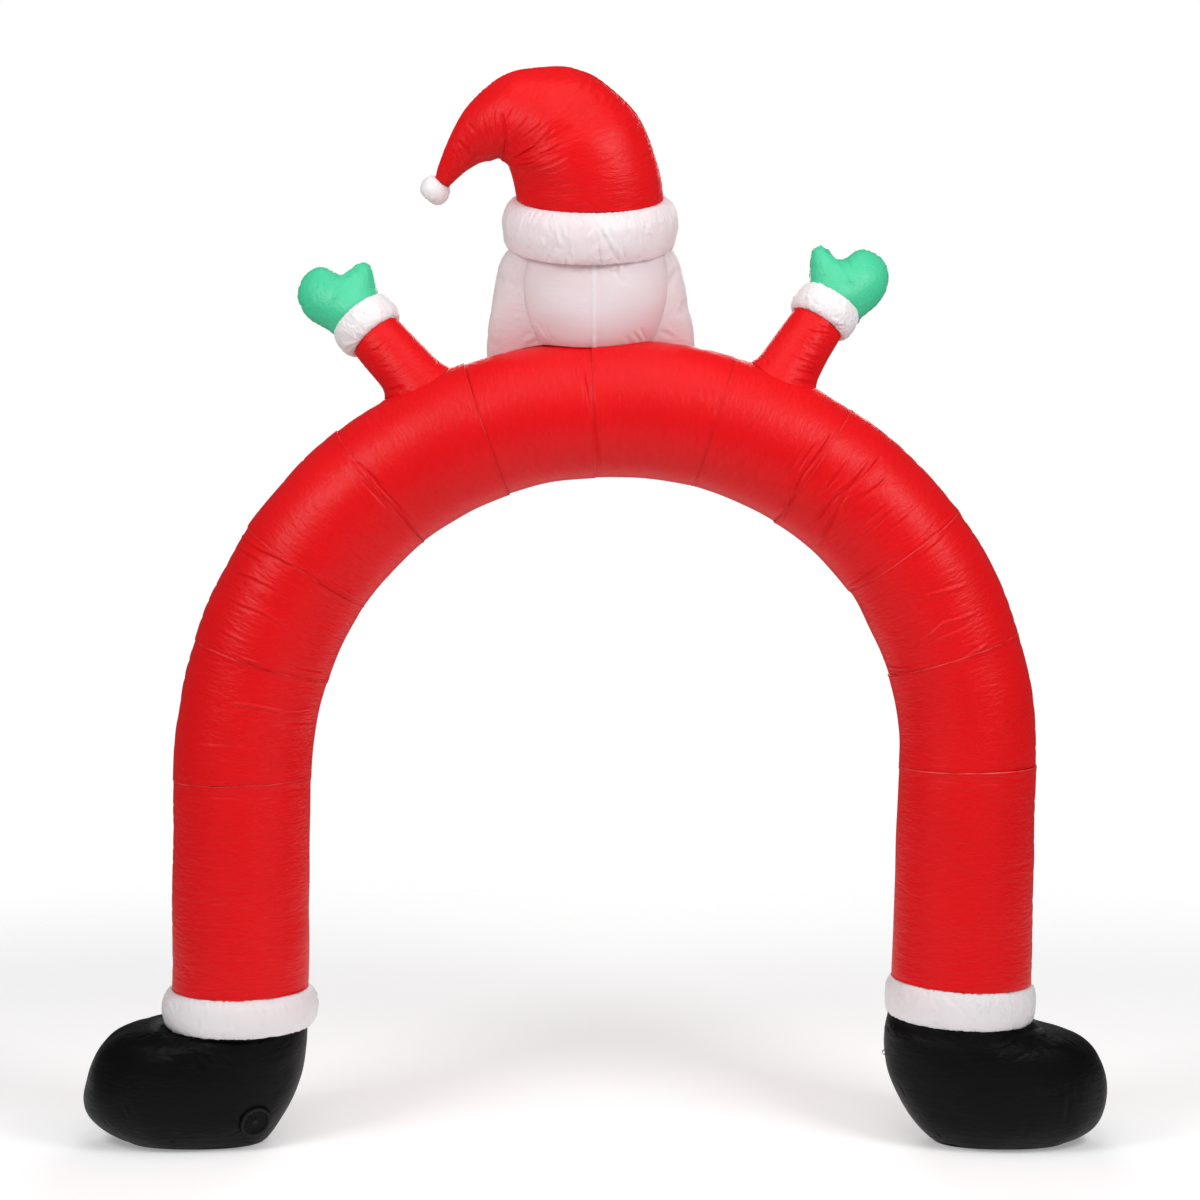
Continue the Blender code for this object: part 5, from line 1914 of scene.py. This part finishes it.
LEFT_FOOT = Foot(
    Side.LEFT, -0.993, 0.4285, 0.1855, 0.3, -1.0024, 0.217, LEFT_SLICES,
    leg_creases=table(
        Crease,
        (0.56, 56, 0.53, 108, 5, 0.8, 3), (0.05, 70, 0.06, 120, 4, 0.8), (0.84, 40, 0.93, 60, 5, 0.8),
    ),
    boot_creases=table(
        Crease,
        (0.162, 276, 0.319, 262, 4, 4.4), (0.164, 274, 0.314, 260, 4, -2.4), (0.144, 271, 0.299, 250, 4, 4),
        (0.213, 266, 0.326, 249, 4, -3), (0.281, 280, 0.387, 274, 4, 3.2), (0.261, 278, 0.362, 271, 4, 3.2),
        (0.247, 275, 0.337, 269, 4, 3), (0.22, 273, 0.286, 268, 4, 2.4), (0.301, 282, 0.375, 278, 4, 2),
        (0, 328, 0.141, 314, 7, 3.4), (0.572, 301, 0.666, 297, 6, 2.2), (0.555, 297, 0.647, 292, 6, 1.8),
        (0.871, 276, 0.764, 270, 6, 2.4), (0.148, 264, 0.209, 255, 4, 2), (0.204, 220, 0.295, 214, 5, 1.4),
        (0.701, 315, 0.766, 314, 5, 1.6),
    ),
    boot_zones=table(
        Zone,
        (0.3, 274, 0.1, 14, 20, 60, 1.6, True, 0.28), (0.2, 262, 0.08, 12, 20, 60, 1.4, True, 0.28),
        (0.1, 235, 0.1, 40, 20, 60, 0.8, True), (0.8, 250, 0.12, 60, 20, 60, 0.5, True),
    ),
    cuff_creases=table(
        Crease,
        (0.772, 208, 0.536, 222, 4, -2.2), (0.742, 223, 0.514, 225, 4, -2), (0.86, 235, 0.652, 241, 4, -2),
        (0.882, 251, 0.579, 256, 4, -2.2), (0.655, 281, 0.837, 286, 4, -2), (0.726, 294, 0.526, 297, 4, -2),
        (0.858, 264, 0.607, 268, 4, -1.8), (0.794, 313, 0.529, 314, 4, -1.8), (0.507, 273, 0.279, 277, 4, 1.8),
        (0.546, 247, 0.32, 248, 4, 1.8), (0.85, 332, 0.524, 332, 4, -1.8),
    ),
    seed=410,
)  # fmt: skip
RIGHT_FOOT = Foot(
    Side.RIGHT, 1.024, 0.4505, 0.1905, 2.3, 1.0185, 0.2105, RIGHT_SLICES,
    leg_creases=table(
        Crease,
        (0.05, 60, 0.04, 130, 4, 0.8), (0.88, 100, 0.92, 140, 5, 0.7), (0.42, 30, 0.45, 70, 5, 0.6),
    ),
    boot_creases=table(
        Crease,
        (0.118, 277, 0.029, 308, 4, 4.2), (0.179, 271, 0.059, 304, 4, -3), (0.284, 270, 0.142, 289, 4, 3.2),
        (0.291, 275, 0.089, 315, 4, 4.4), (0.291, 277, 0.111, 313, 4, -3), (0.247, 270, 0.115, 290, 4, 2.6),
        (0.285, 280, 0.13, 310, 4, 3), (0.093, 329, 0.199, 313, 6, 2.8), (0.182, 333, 0.245, 326, 5, 2.2),
        (0.412, 297, 0.518, 295, 6, 2.2), (0.442, 301, 0.703, 298, 6, 3), (0.453, 306, 0.569, 307, 6, 2.4),
        (0.659, 276, 0.793, 275, 6, 2.4), (0.781, 219, 0.879, 219, 5, 1.6), (0.515, 200, 0.579, 203, 6, 1.4),
    ),
    boot_zones=table(
        Zone,
        (0.17, 290, 0.1, 20, 20, 60, 1.8, True, 0.28), (0.48, 301, 0.12, 8, 22, 80, 1.2, True, 0.28),
        (0.1, 225, 0.1, 40, 20, 60, 0.7, True), (0.8, 250, 0.12, 60, 20, 60, 0.5, True),
    ),
    cuff_creases=table(
        Crease,
        (1, 256, 0.279, 281, 4.5, -3, 2), (0.834, 251, 0.319, 273, 4, 2.2, 2), (0.727, 271, 0.582, 286, 4, -2.2),
        (0.826, 283, 0.307, 305, 4, -2.6), (0.737, 297, 0.421, 312, 4, -2), (0.952, 227, 0.615, 235, 4, -2),
        (0.698, 237, 0.446, 245, 4, -2.2), (0.755, 246, 0.558, 256, 4, -2.2), (0.847, 306, 0.489, 323, 4, -2),
        (0.751, 214, 0.482, 219, 4, -1.8), (0.594, 291, 0.365, 298, 4, 1.8),
    ),
    seed=450,
)  # fmt: skip
LEFT_ARM = RaisedArm(
    Side.LEFT, (-0.497, 2.115), (-0.615, 2.249), 0.0770,
    mitten_outline=(
        (-0.071, -0.053), (-0.099, -0.034), (-0.143, -0.007), (-0.169, 0.031), (-0.177, 0.053), (-0.173, 0.082),
        (-0.154, 0.119), (-0.133, 0.136), (-0.102, 0.141), (-0.075, 0.129), (-0.046, 0.118), (-0.029, 0.132),
        (0.002, 0.153), (0.024, 0.152), (0.039, 0.132), (0.045, 0.103), (0.060, 0.054),
    ),
    mitten_middle=(-0.058, 0.042),
    arm_creases=table(
        Crease,
        (0.84, 222, 0.72, 262, 4, 2.2), (0.58, 210, 0.44, 257, 4, 1.8), (0.12, 190, 0.1, 250, 5, 3),
        (0.1, 330, 0.18, 352, 4, 2), (0.3, 200, 0.26, 240, 4, 1.6),
    ),
    arm_zones=table(
        Zone,
        (0.5, 215, 0.5, 40, 15, 55, 1.4, False, 0.28), (0.14, 330, 0.14, 40, 14, 40, 1.6, False, 0.28),
        (0.5, 90, 0.6, 90, 16, 60, 1, False, 0.28),
    ),
    cuff_creases=table(
        Crease,
        (0.51, 357, 0.2, 341, 4, -2.4), (0.38, 317, 0.09, 346, 4, -2.2), (0.45, 43, 0.22, 55, 4, 2),
        (0.6, 21, 0.33, 11, 4, -1.8), (0.36, 292, 0.22, 326, 4, 2), (0.7, 330, 0.5, 316, 4, -1.8),
    ),
    mitten_creases=table(
        Crease,
        (0.44, 78, 0.25, 56, 4, 4.5), (0.4, 72, 0.22, 48, 4, 3.4), (0.38, 94, 0.2, 60, 4, 2.8),
        (0.42, 88, 0.24, 98, 4.5, 3), (0.2, 122, 0.1, 150, 5, 1.6), (0.27, 19, 0.42, 19, 4, 1.8),
        (0.28, 8, 0.42, 6, 4, 1.6), (0.46, 143, 0.36, 146, 4, 2),
    ),
    seed=510,
)  # fmt: skip
RIGHT_ARM = RaisedArm(
    Side.RIGHT, (0.5265, 2.134), (0.625, 2.285), 0.0775,
    mitten_outline=(
        (-0.066, 0.043), (-0.062, 0.086), (-0.060, 0.123), (-0.051, 0.149), (-0.031, 0.159), (-0.011, 0.155),
        (-0.006, 0.137), (0.019, 0.118), (0.042, 0.123), (0.068, 0.143), (0.089, 0.149), (0.112, 0.144),
        (0.140, 0.127), (0.160, 0.099), (0.164, 0.076), (0.162, 0.047), (0.151, 0.018), (0.119, -0.022),
        (0.083, -0.051),
    ),
    mitten_middle=(0.046, 0.045),
    arm_creases=table(
        Crease,
        (0.74, 262, 0.87, 305, 4, 2.8), (0.85, 266, 0.95, 309, 4, 2.4), (0.61, 278, 0.64, 322, 4, 3.4),
        (0.56, 272, 0.57, 318, 4, 2.6), (0.43, 275, 0.46, 324, 4, 3), (0.35, 270, 0.36, 322, 4, 2.4),
        (0.27, 282, 0.29, 330, 4, 3), (0.2, 276, 0.2, 326, 4, 2.2), (0.09, 182, 0.02, 234, 4.5, 2.6),
        (0.2, 184, 0.08, 234, 4.5, 2.4), (0.05, 280, 0.06, 340, 5, 3),
    ),
    arm_zones=table(
        Zone,
        (0.5, 304, 0.5, 34, 15, 55, 2.6, False, 0.28), (0.12, 210, 0.14, 40, 14, 40, 1.6, False, 0.28),
        (0.5, 90, 0.6, 90, 16, 60, 1, False, 0.28),
    ),
    cuff_creases=table(
        Crease,
        (0.1, 190, 0.3, 208, 4, 2.4), (0.4, 204, 0.36, 216, 4, -2.6), (0.16, 176, 0.26, 190, 4, -2),
        (0.37, 130, 0.29, 145, 4, 2), (0.69, 171, 0.53, 189, 4, 1.8), (0.66, 196, 0.55, 215, 4, -2.2),
    ),
    mitten_creases=table(
        Crease,
        (0.5, 104, 0.18, 83, 4, 4), (0.39, 168, 0.16, 160, 4, 2.4), (0.34, 174, 0.11, 178, 4, 2.8),
        (0.27, 183, 0.08, 208, 4, 2.4), (0.19, 208, 0.08, 219, 4, 2), (0.38, 178, 0.24, 184, 4, -2),
        (0.4, 118, 0.27, 124, 4.5, 3.2), (0.44, 14, 0.36, 10, 4, 2), (0.45, 26, 0.37, 24, 4, 1.8),
    ),
    seed=540,
)  # fmt: skip


def sew_trims(rings: Sequence[Shell]) -> None:
    """Stitches the white rings beside both their seams."""
    thread = Stitching("trim_stitches", Slot.WHITE, pitch=0.0085, stitch=0.0055)
    for shell in rings:
        thread.along(shell.path(2))
        thread.along(shell.path(-3))
    thread.build()


def main() -> None:
    """Builds the studio and the arch, piece by piece."""
    logging.basicConfig(level=logging.INFO, format="%(message)s")
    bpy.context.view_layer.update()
    Studio().build()
    tube = Tube()
    tube.build_gores()
    for foot in (LEFT_FOOT, RIGHT_FOOT):
        tube.build_leg(foot)
    tube.sew()
    trims = []
    guard = BlowerGuard()
    for foot in (LEFT_FOOT, RIGHT_FOOT):
        trims.append(foot.build_cuff())
        foot.build_boot(guard if foot.side is Side.LEFT else None)
    guard.build()
    HeelTab(RIGHT_FOOT).build()
    for arm in (LEFT_ARM, RIGHT_ARM):
        arm.build_arm(tube)
        trims.append(arm.build_cuff())
        arm.build_mitten()
    head = Head()
    head.build_form(tube)
    head.build_pouch(tube)
    trims.append(head.build_band())
    head.build_hat()
    head.build_bobble()
    sew_trims(trims)


if __name__ == "__main__":
    main()
